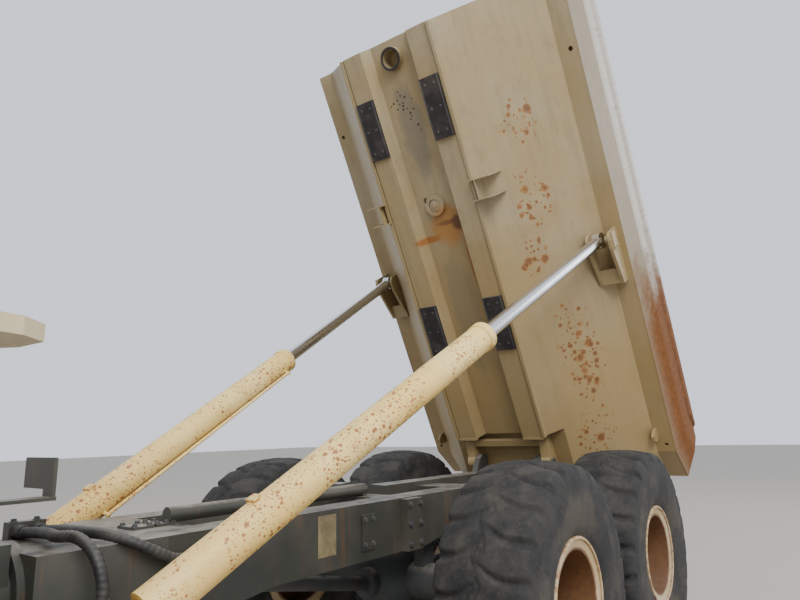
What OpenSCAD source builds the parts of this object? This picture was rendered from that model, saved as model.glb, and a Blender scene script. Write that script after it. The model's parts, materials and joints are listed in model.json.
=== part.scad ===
// Three-axle articulated dump truck with its bed raised.
// +X is ahead, +Y is the truck's left, +Z is up, the ground is Z = 0, millimetres.
// Places along the truck are measured from the middle axle, and heights from the axles' centres.

/* [Layout] */
// Middle axle, measured from the middle of the truck's length
mid_x = -1739.7; // [-1790:0.1:-1720]
// Front axle ahead of the middle axle
front_base = 4175; // [4150:5:4200]
// Steering pivot ahead of the middle axle
pivot_x = 2800; // [2790:5:2810]
// Height of the oscillation axis
osc_z = 392; // [385:1:400]

/* [Wheels] */
// Tyre radius
tyre_r = 808; // [800:1:812]
// Tyre width
tyre_w = 590; // [570:5:600]
// Tyre centre out from the middle plane
track_y = 1142; // [1138:1:1150]
// Rim flange radius
rim_r = 368; // [360:1:374]
// Gap between the tyres of the two rear axles
wheel_gap = 84; // [70:1:100]
// Lugs round each shoulder
lugs = 18; // [16:1:20]
// Depth of the tread
tread = 40; // [35:1:45]

/* [Rear frame] */
// Rail's inner face from the middle plane
rail_in = 245; // [240:1:250]
// Rail's outer face from the middle plane
rail_out = 440; // [430:1:445]
// Height of the rails' top face
rail_top = 587; // [580:1:590]
// Height of the rails' bottom face
rail_bot = 267; // [255:5:280]

/* [Bed] */
// Angle at which the bed stands, from lowered
bed_tilt = 62.6; // [62:0.1:63]
// Bed hinge behind the middle axle
hinge_back = 1953; // [1950:1:1956]
// Height of the bed hinge
hinge_z = 695; // [693:1:697]
// Front edge of the bed's underside, ahead of the hinge
bed_front = 4060; // [4040:5:4080]
// Lean of the front wall, in degrees
front_lean = 9.2; // [8.5:0.1:10]
// Floor's kink behind the hinge
kink_back = 454; // [440:2:460]
// Length of the tail chute
chute_l = 585; // [560:5:600]
// Angle of the tail chute to the floor
chute_tilt = 27; // [24:1:28]
// Thickness of the front wall
bed_wall = 50; // [40:1:60]
// Height of the side walls' top above the pads
bed_top = 1425; // [1400:5:1440]
// Outer half width of the side walls
bed_half = 1440; // [1435:1:1445]

/* [Hoist cylinders] */
// Radius of the tubes
barrel_r = 92; // [88:1:94]
// Radius of the rods
rod_r = 50; // [48:1:52]
// Rod eye radius
eye_r = 72; // [68:1:75]
// Tube's end ahead of its base pin
gland_len = 2635; // [2620:5:2645]

/* [Tractor] */
// Half width of the cab
cab_half = 750; // [740:5:760]
// Height of the cab from its floor to its roof
cab_h = 1720; // [1680:10:1730]
// Length of the cab
cab_l = 1660; // [1650:5:1670]
// Thickness of the cab's walls
cab_wall = 60; // [55:1:65]
// Half width of the hood
hood_half = 640; // [620:5:650]
// Front face of the bumper ahead of the middle axle
nose_x = 6830; // [6800:5:6850]

/* [Hidden] */
$fn = 48;

// Axles
front_x = front_base;
rear_x = -2 * tyre_r - wheel_gap;
spindle_r = 90;
spindle_end = track_y - 22;
hub_y = 860;
housing_r = 115;
flange_r = 190;
drive_r = 245;
nose_l = 290;
nose_r = 95;
saddle_half = 110;
saddle_top = 142;
link_y = [260, 340];
link_z = 222;
link_r = 28;
link_reach = 180;
ear_half = 60;
// Running clearance of a bore over its pin
fit = 0.3;

// Wheels, columns: [axle's place, side]
WHEELS = [[front_x, 1], [front_x, -1], [0, 1], [0, -1], [rear_x, 1], [rear_x, -1]];
// Tyre: half width of its bead, and the wall's radii
bead_half = 250;
wall_r = rim_r + 0.53 * (tyre_r - rim_r);
shoulder_r = tyre_r - 88;
// Tyre's half profile from the bead out to the tread's middle, columns: [radius, out from the tyre's middle plane]
TYRE = [[rim_r - 40, bead_half], [rim_r + 1, bead_half], [rim_r + 40, bead_half + 22], [wall_r, tyre_w / 2],
    [shoulder_r, tyre_w / 2 - 10], [tyre_r - 30, tyre_w / 2 - 33], [tyre_r - 10, tyre_w / 2 - 70], [tyre_r, tyre_w / 2 - 185]];
// Tread groove: its width, its length in from the shoulder, its slant, and how far the two sides are out of step
groove_w = 70;
groove_l = 225;
groove_turn = 24;
groove_step = 0.5;
// Rim: flange's half width, well, lip, and hub
flange_half = bead_half + 12;
well_r = rim_r - 78;
lip = 40.3;
hub_r = 200;
cap_r = 130;
// Rim with its disc, its hub and the hub's cap, columns: [radius, in from the tyre's middle plane]
RIM = [[spindle_r + fit, 232], [spindle_r + fit, 12], [0, 12], [0, -20], [cap_r, -20], [cap_r + 30, 10], [cap_r + 45, 60],
    [well_r, 60], [well_r, 17 - flange_half], [rim_r, -flange_half], [rim_r, -bead_half - 0.2],
    [rim_r - lip, -bead_half - 0.2], [rim_r - lip, bead_half + 0.2], [rim_r, bead_half + 0.2], [rim_r, flange_half],
    [well_r, flange_half - 17], [well_r, 90], [hub_r, 90], [hub_r, 232]];

// Rear frame
frame_tail = 2070;
nose_from = 1850;
nose_turn = 2100;
nose_end = 2560;
nose_tip = 270;
// Side of the box rails, columns: [x, height]
RAIL = [[-frame_tail, rail_bot + 165], [-frame_tail, rail_top], [nose_turn - 50, rail_top], [nose_turn - 50, rail_bot - 75],
    [1500, rail_bot], [150, rail_bot], [-250, rail_bot + 75], [-1500, rail_bot + 75]];
// Side of the frame's nose, columns: [x, height]
NOSE = [[nose_from, rail_bot - 75], [nose_from, rail_top], [nose_turn, rail_top], [nose_end, rail_top - 27],
    [nose_end, rail_bot - 67], [nose_turn, rail_bot - 75]];
// Plan of the nose's left half, columns: [x, y]
NOSE_PLAN = [[nose_from, rail_out], [nose_turn, rail_out], [nose_end, nose_tip]];
// Cross members between the rails, columns: [x from, x to, height from, height to]
CROSS = [[300, 480, 312, rail_top], [-1000, -700, 342, 552], [-frame_tail, -1950, 442, 572]];
// Plates on the frame, columns: [x from, x to, y from, y to, height from, height to]
FRAME_PLATES = [
    // flanges of the steering lines
    [1900, 1972, 10, 150, rail_top, rail_top + 12], [1985, 2090, 10, 150, rail_top, rail_top + 12],
    // block and end fitting of the hoses
    [2300, 2460, -300, -240, rail_top - 37, rail_top + 53], [1895, 1940, rail_out, rail_out + 52, 464, 516],
    // cheek on the rail's side behind the tube, and its stay
    [280, 450, rail_out, 500, 272, rail_top - 5], [710, 830, rail_out, rail_out + 10, rail_bot + 60, rail_top - 60]];
// Guide wedge for the lowered bed, columns: [x, height]
WEDGE = [[100, rail_top], [480, rail_top], [590, rail_top + 53], [590, rail_top + 85], [520, rail_top + 93], [100, rail_top + 38]];
wedge_half = 55;
// Bearing ring of the hitch's tube
tube_r = 150;
ring_r = 205;
ring_end = 2590;
tube_from = 2020;
// Bed hinge: lugs on the frame, columns: [x, height], their sides, and the pins
HINGE_LUG = [[-2035, rail_top - 15], [-2025, hinge_z + 27], [-1990, hinge_z + 62], [-1916, hinge_z + 62], [-1870, hinge_z + 27], [-1780, rail_top - 15]];
hinge_lug_y = [290, 350];
hinge_pin_y = [300, 460];
hinge_pin_r = 35;
// Walking beams' brackets, columns: [x, height]
BEAM_BRACKET = [[rear_x / 2 - 200, rail_bot + 85], [rear_x / 2 + 200, rail_bot + 85], [rear_x / 2 + 110, 92], [rear_x / 2 - 110, 92]];
beam_y = [520, 640];
beam_pin_r = 70;
// Walking beam's side, columns: [x, height]
BEAM = [[rear_x - 120, saddle_top], [rear_x - 120, 212], [rear_x + 120, 252], [rear_x / 2, 322], [-120, 252], [120, 212], [120, saddle_top]];
// Propeller shaft to the middle axle, and where its ends are cut
shaft_r = 45;
shaft_from = [200, 0, -18];
shaft_to = [1950, 0, 322];
// Safety prop that lies on the frame
prop_r = 38;
prop_x = [400, 1890];
prop_y = 100;
prop_z = rail_top + 42;
// Rear lamps
lamp_y = [300, 420];
lamp_z = [480, 555];

// Hitch
boss_r = 150;
boss_z = [152, 632];
pivot_r = 60;
hitch_from = 2600;
hitch_half = 140;
// Heights of the two ears above and below the steering cylinder's eye
EARS = [194, 285];
ear_t = 20;
// Plan of an ear, columns: [x, y]
EAR = [[hitch_from, 100], [hitch_from, 330], [hitch_from + 15, 345], [hitch_from + 75, 345], [hitch_from + 100, 310], [hitch_from + 100, 100]];

// Bed: reach of its front wall's lean, and sizes of the cutting pieces
lean_reach = 300;
far = 3000;
wide = 1600;
bed_bot = 592;
pad_t = 25;
// Ledge under the side walls, above the pads' face
ledge_up = 825;
hinge_x = -hinge_back;
// Outside over the rails, half section, columns: [y, height above the pads' face]
BED_OUT = [[0, 125], [195, 125], [250, pad_t], [rail_out, pad_t], [462, 60], [1190, ledge_up], [1363, ledge_up], [1412, 1110],
    [1418, bed_top - 95], [bed_half, bed_top - 80], [bed_half, bed_top]];
// Outside behind the rails' ends, half section
BED_TAIL = [[0, 200], [595, 200], [1190, ledge_up], [1363, ledge_up], [1412, 1110], [1418, bed_top - 95], [bed_half, bed_top - 80], [bed_half, bed_top]];
// Load space, half section
BED_IN = [[0, 230], [582, 230], [1325, 1010], [1372, 1130], [bed_half - 40, bed_top + 50]];
// Ends of the bed's rails and of its pads, ahead of the hinge
bed_rail_end = 290;
PADS = [[1187, 1693], [3134, 3651]];
pad_y = [251, 438];
// Where the floor's underside turns up into the chute
kink = [hinge_x - kink_back, 0, bed_bot + 200];
// Exhaust port and plug in the trough, columns: [ahead of the hinge, outer radius, bore, height of its lip, height of its floor]
PORTS = [[3920, 100, 75, 85, 205], [2597, 95, 60, 97, 112]];
// Round holes in the ledge on each side, columns: [ahead of the hinge, y, radius]
LEDGE_HOLES = [[3530, 1295, 21], [-230, 1289, 17]];
// Channel brackets beside the rails: ends ahead of the hinge, flange's thickness, and the y of the flange and of the web
CLIP_A = [2550, 2733];
clip_t = 8;
clip_y = [452, 650];
clip_web_y = [505, 650];
clip_low = -28;
clip_hole = 7;
CLIP_HOLES = [2590, 2640, 2690];
// Lip along each rail, half section, columns: [y, height above the pads' face]
LIP = [[450, 14], [477, 14], [477, 75.7], [462, 60], [450, 40.9]];
// Lifting lug near the tail, columns: [ahead of the hinge, height above the pads' face]
LUG = [[-165, ledge_up], [-165, 760], [-130, 700], [-85, 700], [-55, 760], [-55, ledge_up]];
lug_y = [1200, 1228];
// Plate over each rail's tail end
end_plate = [[272, 290], [250, 455], [18, 200]];
// Hinge arms, columns: [x, height], their sides, and the cross bar between them
ARM = [[hinge_x - 75, hinge_z], [hinge_x - 110, bed_bot + 200], [hinge_x + 245, bed_bot + 200], [hinge_x + 235, hinge_z + 10],
    [hinge_x + 160, hinge_z - 15], [hinge_x + 65, hinge_z - 40]];
arm_y = [355, 440];
arm_r = 75;
bar_x = [160, 220];
bar_up = [105, 150];

// Hoist pins: ball on the frame, and eye pin on the bed ahead of the hinge and above the pads
hoist_base = [2420, 627, 296];
ball_r = 80;
base_pin_r = 35;
eye_ahead = 1876;
eye_up = 655;
eye_y = 1184;
eye_half = 35;
eye_dz = bed_bot + eye_up - hinge_z;
hoist_eye = [hinge_x + eye_ahead * cos(bed_tilt) - eye_dz * sin(bed_tilt), eye_y,
    hinge_z + eye_ahead * sin(bed_tilt) + eye_dz * cos(bed_tilt)];
hoist_len = norm(hoist_eye - hoist_base);
// Rod's start, tube's start and neck, and gland
rod_from = 2455;
tube_from_ball = 120;
neck_r = 60;
bore_from = 195;
gland_l = 60;
gland_lip = 6;
// Feed pipe of each hoist cylinder: place beside the tube, radius, ends, and fitting
pipe_at = [60, 100];
pipe_r = 11;
pipe_ends = [675, 2500];
fitting = 24;
clamp_at = 680;
clamp_size = [26, 60, 46];
// Base bracket: ear and floor, columns: [x, height]
BASE_EAR = [[hoist_base[0] - 55, hoist_base[2] - 113], [hoist_base[0] + 70, hoist_base[2] - 113], [hoist_base[0] + 65, hoist_base[2] + 30],
    [hoist_base[0] + 35, hoist_base[2] + 65], [hoist_base[0] - 35, hoist_base[2] + 65], [hoist_base[0] - 55, hoist_base[2] + 40]];
base_ear_y = [hoist_base[1] + 113, hoist_base[1] + 141];
base_block_y = [300, hoist_base[1] - 102];
base_block_z = [hoist_base[2] - 113, hoist_base[2] + 55];
base_floor_t = 30;

// Brackets of the rod eyes: ear, columns: [ahead of the hinge, height above the pads' face], and its round end
EYE_EAR = [[eye_ahead - 426, ledge_up + 25], [eye_ahead - 426, eye_up + 45], [eye_ahead - 76, eye_up - 67], [eye_ahead, eye_up - 69],
    [eye_ahead + 55, eye_up - 43], [eye_ahead + 69, eye_up], [eye_ahead + 75, ledge_up + 25]];
ear_r = 70;
// Sides of the inner and the outer ear, and ends of the pin's two halves
EYE_EARS = [[eye_y - 98, eye_y - 72], [eye_y + 96, eye_y + 124]];
EYE_PINS = [[eye_y - 76, eye_y - 64], [eye_y + 62, eye_y + 100]];
// Cover plate of the pocket: ahead of the hinge, and height
cover_a = [eye_ahead - 420, eye_ahead - 280];
cover_up = [700, 710];
// Keeper plate on the outer ear: ahead of the hinge, thickness, and height
keeper_a = [eye_ahead - 96, eye_ahead + 64];
keeper_t = 14;
keeper_up = [eye_up - 40, eye_up + 60];

// Steering cylinders: eye on the hitch and base on the tractor, from the pivot
steer_eye = [-160, 300, 252];
steer_base = [900, 440, 252];
steer_len = norm(steer_eye - steer_base);
steer_r = 42;
steer_ball = 50;
steer_rod_r = 25;
steer_tube = 740;
steer_rod_from = 380;
steer_eye_half = 31;
steer_pin_r = 22;

// Tractor frame: side of its rails, columns: [x, height]
TRACTOR_RAIL = [[2960, 312], [2960, 592], [3300, 592], [3500, 522], [6560, 522], [6560, 312]];
tractor_rail_y = [280, 400];
// Plates and cross members of the tractor frame, columns: [x from, x to, half width, height from, height to]
TRACTOR_CROSS = [[2960, 3060, 300, 312, 632], [2960, 3060, 150, 92, 692], [pivot_x, 3060, boss_r, 642, 692],
    [pivot_x, 3060, boss_r, 92, 142], [4050, 4300, 300, 322, 512], [6300, 6500, 300, 312, 522]];
// Heights of the pivot's lower and upper plates
PIVOT_PLATES = [[92, 142], [642, 692]];
// Post of the hood hinge, columns: [x from, x to, y from, y to, height from, height to]
HOOD_POST = [[6530, 6590, 420, 450, 492, 632], [6500, 6560, 390, 450, 442, 512]];
hood_pin = [6560, 602];
hood_pin_r = 15;
hood_lug = [[6520, 6700], [455, 485], [572, 642]];
// Hose stand over the pivot, columns: [x from, x to, y from, y to, height from, height to]
STAND = [[2400, pivot_x + 160, -50, 50, 745, 760], [2400, 2415, -50, 40, 745, 800], [2400, 2415, -240, 40, 790, 925],
    [pivot_x, pivot_x + 160, -50, 50, 690, 750]];
// Bases of the steering cylinders: half length, and columns: [y from, y to, height from, height to]
steer_base_half = 60;
STEER_BASE = [[390, 500, 317, 342], [390, 500, 162, 187], [280, 330, 162, 342], [320, 400, 162, 182]];

// Engine, columns: [x from, x to, half width, height from, height to]
ENGINE = [4900, 6150, 280, 252, 1092];
// Bumper's plan, left half, columns: [x, y], and its heights
BUMPER = [[6560, 1200], [nose_x - 120, 1200], [nose_x, 1060]];
bumper_z = [-48, 432];
// Towing eye, columns: [x, height], its sides and its bore
TOW_EYE = [[6680, -38], [6830, -38], [6820, -148], [6790, -178], [6730, -178], [6700, -148]];
tow_y = [430, 470];
tow_bore = [6760, -118, 26];
// Headlamps: housing and lens, columns: [x from, x to, y from, y to, height from, height to]
LAMP_BOX = [6660, 6760, 690, 910, 432, 590];
LENS = [6760, 6785, 710, 890, 455, 572];
// Hood: side, columns: [ahead of its rear edge, height above its lower edge], outside and inside
hood_x = 4760;
hood_z = 612;
hood_wall = 30;
HOOD = [[0, 0], [0, 1060], [440, 1040], [1740, 760], [1940, 630], [1960, 0]];
HOOD_IN = [[-60, -120], [-60, 1025], [440, 1005], [1715, 730], [1905, 610], [1925, -120]];
// Louvres on the hood's sides: first, pitch, width and heights, and their number
LOUVRE = [900, 115, 60, 250, 620];
louvres = 6;
// Grille: half width, heights, depth, bars and width of its border
grille_half = 520;
grille_z = [30, 560];
grille_x = 2000;
grille_bars = 7;
grille_edge = 36;
bar_half = 11;

// Cab: rear face, and side, columns: [ahead of its rear face, height above its floor], outside and inside
cab_x = 3080;
cab_floor = tyre_r + 104;
CAB = [[0, 0], [0, cab_h - 240], [60, cab_h], [cab_l - 320, cab_h], [cab_l - 220, cab_h - 60], [cab_l, cab_h - 920], [cab_l, 0]];
CAB_IN = [[cab_wall, cab_wall], [cab_wall, cab_h - 250], [cab_wall + 50, cab_h - cab_wall], [cab_l - 350, cab_h - cab_wall],
    [cab_l - 275, cab_h - 95], [cab_l - cab_wall, cab_h - 930], [cab_l - cab_wall, cab_wall]];
// Openings in the cab's left side, right side and rear, columns: [along from, along to, height from, height to]
DOORWAY = [320, 1420, 60, 1580];
SIDE_WINDOW = [320, 1320, 780, 1560];
REAR_WINDOW = [-600, 600, 730, 1430];
// Windscreen: opening, columns: [ahead of the cab's rear face, height above its floor], and half width
SCREEN = [[1270, 1570], [1480, 840], [1820, 840], [1820, 1570]];
SCREEN_GLASS = [[1427, 1570], [1614, 840], [1623, 840], [1436, 1570]];
screen_half = 650;
// Door in its opening, its window, and its glass from the door's outer face
door_gap = 5;
DOOR_WINDOW = [400, 1340, 780, 1500];
glass_in = [28, 36];
// Door hinges: place, pin, knuckle, and heights above the cab's floor
door_pin = [1417, 18];
door_pin_r = 6;
knuckle_r = 14;
knuckle_l = 60;
DOOR_HINGES = [180, 1180];
// Rear guard over the pivot, columns: [ahead of the cab's rear face, y], and its heights above the cab's floor
GUARD = [[10, -600], [10, 300], [-440, 150], [-590, 0], [-590, -250], [-380, -600]];
GUARD_IN = [[40, -580], [40, 268], [-430, 120], [-570, -12], [-570, -238], [-370, -580]];
guard_z = [520, 555];
guard_rim = 45;
// Seat and console, from the cab's rear face and its floor, columns: [x from, x to, half width, height from, height to]
SEAT = [[420, 900, 240, 410, 530], [320, 420, 240, 410, 1060], [520, 770, 150, cab_wall, 410]];
CONSOLE = [1320, 1570, 500, cab_wall, 760];
column_from = [1350, 0, 720];
column_to = [1090, 0, 860];
wheel_at_cab = [1105, 0, 852];
wheel_to = [1020, 0, 898];
column_r = 28;
wheel_ring = [190, 16];
spoke_r = 10;

// Platform: plate and posts, columns: [x from, x to, height from]
platform_x = [2960, 4760];
platform_half = 640;
platform_t = 60;
POSTS = [[3000, 3200, 592], [4600, 4700, 522]];
post_y = [305, 400];
// Fenders: side, columns: [x, height], and sides
fender_z = tyre_r + 84;
FENDER = [[3390, fender_z - 272], [3420, fender_z - 287], [3560, fender_z - 35], [5080, fender_z - 35], [5080, fender_z], [3540, fender_z]];
fender_y = [platform_half, 1430];
// Tanks: end section, columns: [y, height], and lengths
FUEL = [[-400, 12], [-400, 472], [-1240, 472], [-1300, 412], [-1300, 92], [-1220, 12]];
fuel_x = [5120, 5950];
OIL = [[400, 12], [400, 472], [1190, 472], [1250, 412], [1250, 92], [1170, 12]];
oil_x = [5520, 6150];
// Steps: treads' heights, thickness, length and depth, side plates, and the bracket to the frame
TREADS = [-208, 92, 392, 692];
tread_t = 30;
step_x = [5110, 5490];
step_y = [1000, 1380];
step_side = 22;
step_arm = [400, 482, 517];
// Handrails: posts along X, y, bars' heights above the fender, and radius
rail_x = [4640, 5050];
rail_y = 1380;
RAIL_BARS = [450, 940];
rail_r = 18;
// Exhaust and air cleaner, columns: [radius, height above the fender]
exhaust_at = [4930, -860];
EXHAUST = [[0, 0], [60, 0], [60, 60], [98, 110], [98, 820], [60, 880], [60, 1350], [50, 1350], [50, 1000], [0, 1000]];
cleaner_at = [4700, -1130];
CLEANER = [[0, 0], [150, 0], [150, 470], [60, 500], [60, 560], [170, 575], [170, 620], [120, 650], [0, 650]];
// Mirrors: arm and glass, from the cab's rear face and its floor, columns: [x from, x to, y from, y to, height from, height to]
MIRROR = [1435, 1465, 1100, 1290, 1080, 1480];
mirror_arm = [1450, 1470, 12];

// Hoses across the frame's nose to the near hoist pin and along the near rail: radius, and centre lines, columns: [x, y, height]
hose_r = 23;
HOSE_SIDE = [[2420, -240, 600], [2420, -200, 600], [2420, -160, 600], [2418, -90, 606], [2423, 20, 612], [2451, 127, 620],
    [2466, 223, 619], [2450, 321, 624], [2437, 391, 604], [2424, 447, 561], [2416, 482, 506], [2412, 500, 447], [2412, 500, 395],
    [2412, 500, base_block_z[1]]];
HOSE_RAIL = [[2340, -240, 600], [2340, -200, 600], [2340, -160, 600], [2334, -80, 606], [2326, 20, 611], [2324, 120, 613],
    [2327, 209, 615], [2317, 304, 615], [2285, 380, 600], [2235, 434, 572], [2174, 463, 538], [2104, 469, 503], [2042, 466, 490],
    [1990, 466, 490], [1940, 466, 490]];
hose_sides = 10;
hose_steps = 3;

// Shared shapes
module at_mid() { translate([mid_x, 0, tyre_r]) children(); }
module both() { children(); mirror([0, 1, 0]) children(); }
module box(x0, x1, y0, y1, z0, z1) { translate([x0, y0, z0]) cube([x1 - x0, y1 - y0, z1 - z0]); }
// Box from a table's row: [x from, x to, y from, y to, height from, height to]
module block(b) { box(b[0], b[1], b[2], b[3], b[4], b[5]); }
// Box across the middle plane from a table's row: [x from, x to, half width, height from, height to]
module wide_block(b) { box(b[0], b[1], -b[2], b[2], b[3], b[4]); }
// Profile of [x, z] points drawn across the truck
module prism_y(pts, y0, y1) { translate([0, y1, 0]) rotate([90, 0, 0]) linear_extrude(y1 - y0) polygon(pts); }
// Profile of [y, z] points drawn along the truck
module prism_x(pts, x0, x1) { translate([x0, 0, 0]) rotate([90, 0, 90]) linear_extrude(x1 - x0) polygon(pts); }
// Plan of [x, y] points drawn upwards
module prism_z(pts, z0, z1) { translate([0, 0, z0]) linear_extrude(z1 - z0) polygon(pts); }
module cyl_y(x, y0, y1, z, r) { translate([x, y1, z]) rotate([90, 0, 0]) cylinder(h = y1 - y0, r = r); }
module cyl_x(x0, x1, y, z, r) { translate([x0, y, z]) rotate([0, 90, 0]) cylinder(h = x1 - x0, r = r); }
module cyl_z(x, y, z0, z1, r) { translate([x, y, z0]) cylinder(h = z1 - z0, r = r); }
// Lays a piece drawn along +Z from the origin onto the line from p towards q
module aim(p, q) {
    d = q - p;
    translate(p) rotate([0, acos(d[2] / norm(d)), atan2(d[1], d[0])]) children();
}
module bar(p, q, r) { aim(p, q) cylinder(h = norm(q - p), r = r); }
// Turns the lowered bed up about its hinge
module raised() {
    translate([hinge_x, 0, hinge_z]) rotate([0, -bed_tilt, 0]) translate([-hinge_x, 0, -hinge_z]) children();
}
// Whole profile from its half on one side of the middle plane
function across(half) = concat([for (p = half) [p[0], -p[1]]], [for (i = [len(half) - 1:-1:0]) half[i]]);
function mirrored(half) = concat([for (p = half) p], [for (i = [len(half) - 1:-1:0]) if (half[i][0] > 0) [-half[i][0], half[i][1]]]);
// Bed's whole section from its half, at its height
function section(half) = [for (p = mirrored(half)) [p[0], p[1] + bed_bot]];
// Bed's side profile, from the hinge and the pads' face
function on_bed(pts) = [for (p = pts) [hinge_x + p[0], bed_bot + p[1]]];
// Profile moved along the truck and up
function moved(pts, x, z) = [for (p = pts) [x + p[0], z + p[1]]];

// Point of a smooth curve through points a, b, c and d, between b and c
function curve(a, b, c, d, t) = 0.5 * (2 * b + t * (c - a) + t * t * (2 * a - 5 * b + 4 * c - d) + t * t * t * (3 * b - a - 3 * c + d));
function smooth(p) = concat([for (i = [0:len(p) - 2]) for (k = [0:hose_steps - 1])
    curve(p[max(i - 1, 0)], p[i], p[i + 1], p[min(i + 2, len(p) - 1)], k / hose_steps)], [p[len(p) - 1]]);
// Round tube along a centre line, its rings set out from a direction the line never takes
module tube(path, r, away) {
    n = len(path);
    rings = [for (i = [0:n - 1])
        let (t = path[min(i + 1, n - 1)] - path[max(i - 1, 0)], u = cross(t, away) / norm(cross(t, away)), v = cross(t, u) / norm(t))
        for (k = [0:hose_sides - 1]) path[i] + r * (cos(k * 360 / hose_sides) * u + sin(k * 360 / hose_sides) * v)];
    walls = [for (i = [0:n - 2]) for (k = [0:hose_sides - 1])
        let (a = i * hose_sides + k, b = i * hose_sides + (k + 1) % hose_sides) [a, a + hose_sides, b + hose_sides, b]];
    polyhedron(rings, concat(walls, [[for (k = [0:hose_sides - 1]) k]],
        [[for (k = [hose_sides - 1:-1:0]) (n - 1) * hose_sides + k]]));
}

// Rear frame
module rear_frame() color("#3a3f3d") at_mid() {
    difference() {
        union() {
            both() {
                prism_y(RAIL, rail_in, rail_out);
                prism_y(HINGE_LUG, hinge_lug_y[0], hinge_lug_y[1]);
                prism_y(BEAM_BRACKET, rail_out - 60, rail_out);
                // ear, floor and inner block of the hoist base
                prism_y(BASE_EAR, base_ear_y[0], base_ear_y[1]);
                box(hoist_base[0] - 55, hoist_base[0] + 70, base_block_y[0], base_ear_y[1], base_block_z[0], base_block_z[0] + base_floor_t);
                box(hoist_base[0] - 55, hoist_base[0] + 60, base_block_y[0], base_block_y[1], base_block_z[0], base_block_z[1]);
                // brackets of the axle links
                for (s = [-1, 1])
                    box(rear_x / 2 + s * link_reach - 30, rear_x / 2 + s * link_reach + 30, link_y[0], link_y[1], link_z - 50, link_z + 130);
            }
            frame_nose();
            for (c = CROSS) box(c[0], c[1], -rail_in - 5, rail_in + 5, c[2], c[3]);
            for (b = FRAME_PLATES) block(b);
            mirror([0, 1, 0]) block(FRAME_PLATES[4]);
            prism_y(WEDGE, -wedge_half, wedge_half);
            cyl_x(nose_end - 20, ring_end, 0, osc_z, ring_r);
        }
        // bore for the hitch's tube
        cyl_x(tube_from - 20, ring_end + 10, 0, osc_z, tube_r + fit);
    }
    both() {
        cyl_y(hinge_x, hinge_pin_y[0], hinge_pin_y[1], hinge_z, hinge_pin_r);
        // hoist base pin's ends, up to the ball
        difference() {
            cyl_y(hoist_base[0], base_block_y[1] - 10, base_ear_y[0] + 10, hoist_base[2], base_pin_r);
            translate(hoist_base) sphere(r = ball_r + fit);
        }
    }
}
module frame_nose() intersection() {
    prism_z(across(NOSE_PLAN), rail_bot - 100, rail_top + 10);
    prism_y(NOSE, -rail_out, rail_out);
}
module frame_hoses() color("#1d1c1b") at_mid() {
    tube(smooth(HOSE_SIDE), hose_r, [1, 0, 0]);
    tube(smooth(HOSE_RAIL), hose_r, [0, 0, 1]);
}
module tail_lamps() color("#8c1f18") at_mid() both()
    box(-frame_tail - 25, -frame_tail, lamp_y[0], lamp_y[1], lamp_z[0], lamp_z[1]);

module mid_axle() color("#343c3e") at_mid() { axle(0, beam_y[0], beam_y[1]); axle_nose(0, -1); link_ears(0); }
module rear_axle() color("#343c3e") at_mid() { axle(rear_x, beam_y[0], beam_y[1]); link_ears(rear_x); }
// Axle housing with its drive nose ahead, its spindles, and a saddle on each side between y0 and y1
module axle(x, y0, y1) {
    cyl_y(x, -hub_y, hub_y, 0, housing_r);
    translate([x, 0, 0]) sphere(r = drive_r);
    axle_nose(x, 1);
    both() {
        cyl_y(x, hub_y - 20, hub_y + 40, 0, flange_r);
        cyl_y(x, hub_y + 30, spindle_end, 0, spindle_r);
        box(x - saddle_half, x + saddle_half, y0, y1, 0, saddle_top);
    }
}
module axle_nose(x, side) cyl_x(side > 0 ? x : x - nose_l, side > 0 ? x + nose_l : x, 0, 0, nose_r);
// Ears for the links that hold the axle along the truck
module link_ears(x) both() box(x - ear_half, x + ear_half, link_y[0], link_y[1], 0, link_z + 40);

module walking_beams() color("#343c3e") at_mid() both() {
    prism_y(BEAM, beam_y[0], beam_y[1]);
    cyl_y(rear_x / 2, rail_out, beam_y[0] + 10, link_z, beam_pin_r);
}
module axle_links() color("#343c3e") at_mid() both() {
    cyl_x(rear_x / 2 + link_reach + 30, -ear_half, (link_y[0] + link_y[1]) / 2, link_z, link_r);
    cyl_x(rear_x + ear_half, rear_x / 2 - link_reach - 30, (link_y[0] + link_y[1]) / 2, link_z, link_r);
}
module propshafts() color("#4a4f50") at_mid() {
    intersection() {
        bar(shaft_from, shaft_to, shaft_r);
        box(nose_l, nose_from, -200, 200, -200, 500);
    }
    cyl_x(rear_x + nose_l, -nose_l, 0, 0, shaft_r);
}
module safety_prop() color("#3a3f3d") at_mid() {
    cyl_x(prop_x[0], prop_x[1], prop_y, prop_z, prop_r);
    for (x = [prop_x[0] + 10, prop_x[1] - 34]) box(x, x + 30, prop_y - 30, prop_y + 30, rail_top, prop_z - 12);
}

// Hitch between rear frame and tractor
module hitch() color("#3a3f3d") at_mid() difference() {
    union() {
        cyl_x(tube_from, pivot_x - 100, 0, osc_z, tube_r);
        cyl_z(pivot_x, 0, boss_z[0], boss_z[1], boss_r);
        box(hitch_from, pivot_x, -hitch_half, hitch_half, boss_z[0] + 30, boss_z[1] - 30);
        both() for (z = EARS) prism_z(EAR, z, z + ear_t);
    }
    cyl_z(pivot_x, 0, boss_z[0] - 50, boss_z[1] + 50, pivot_r + fit);
}

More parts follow.
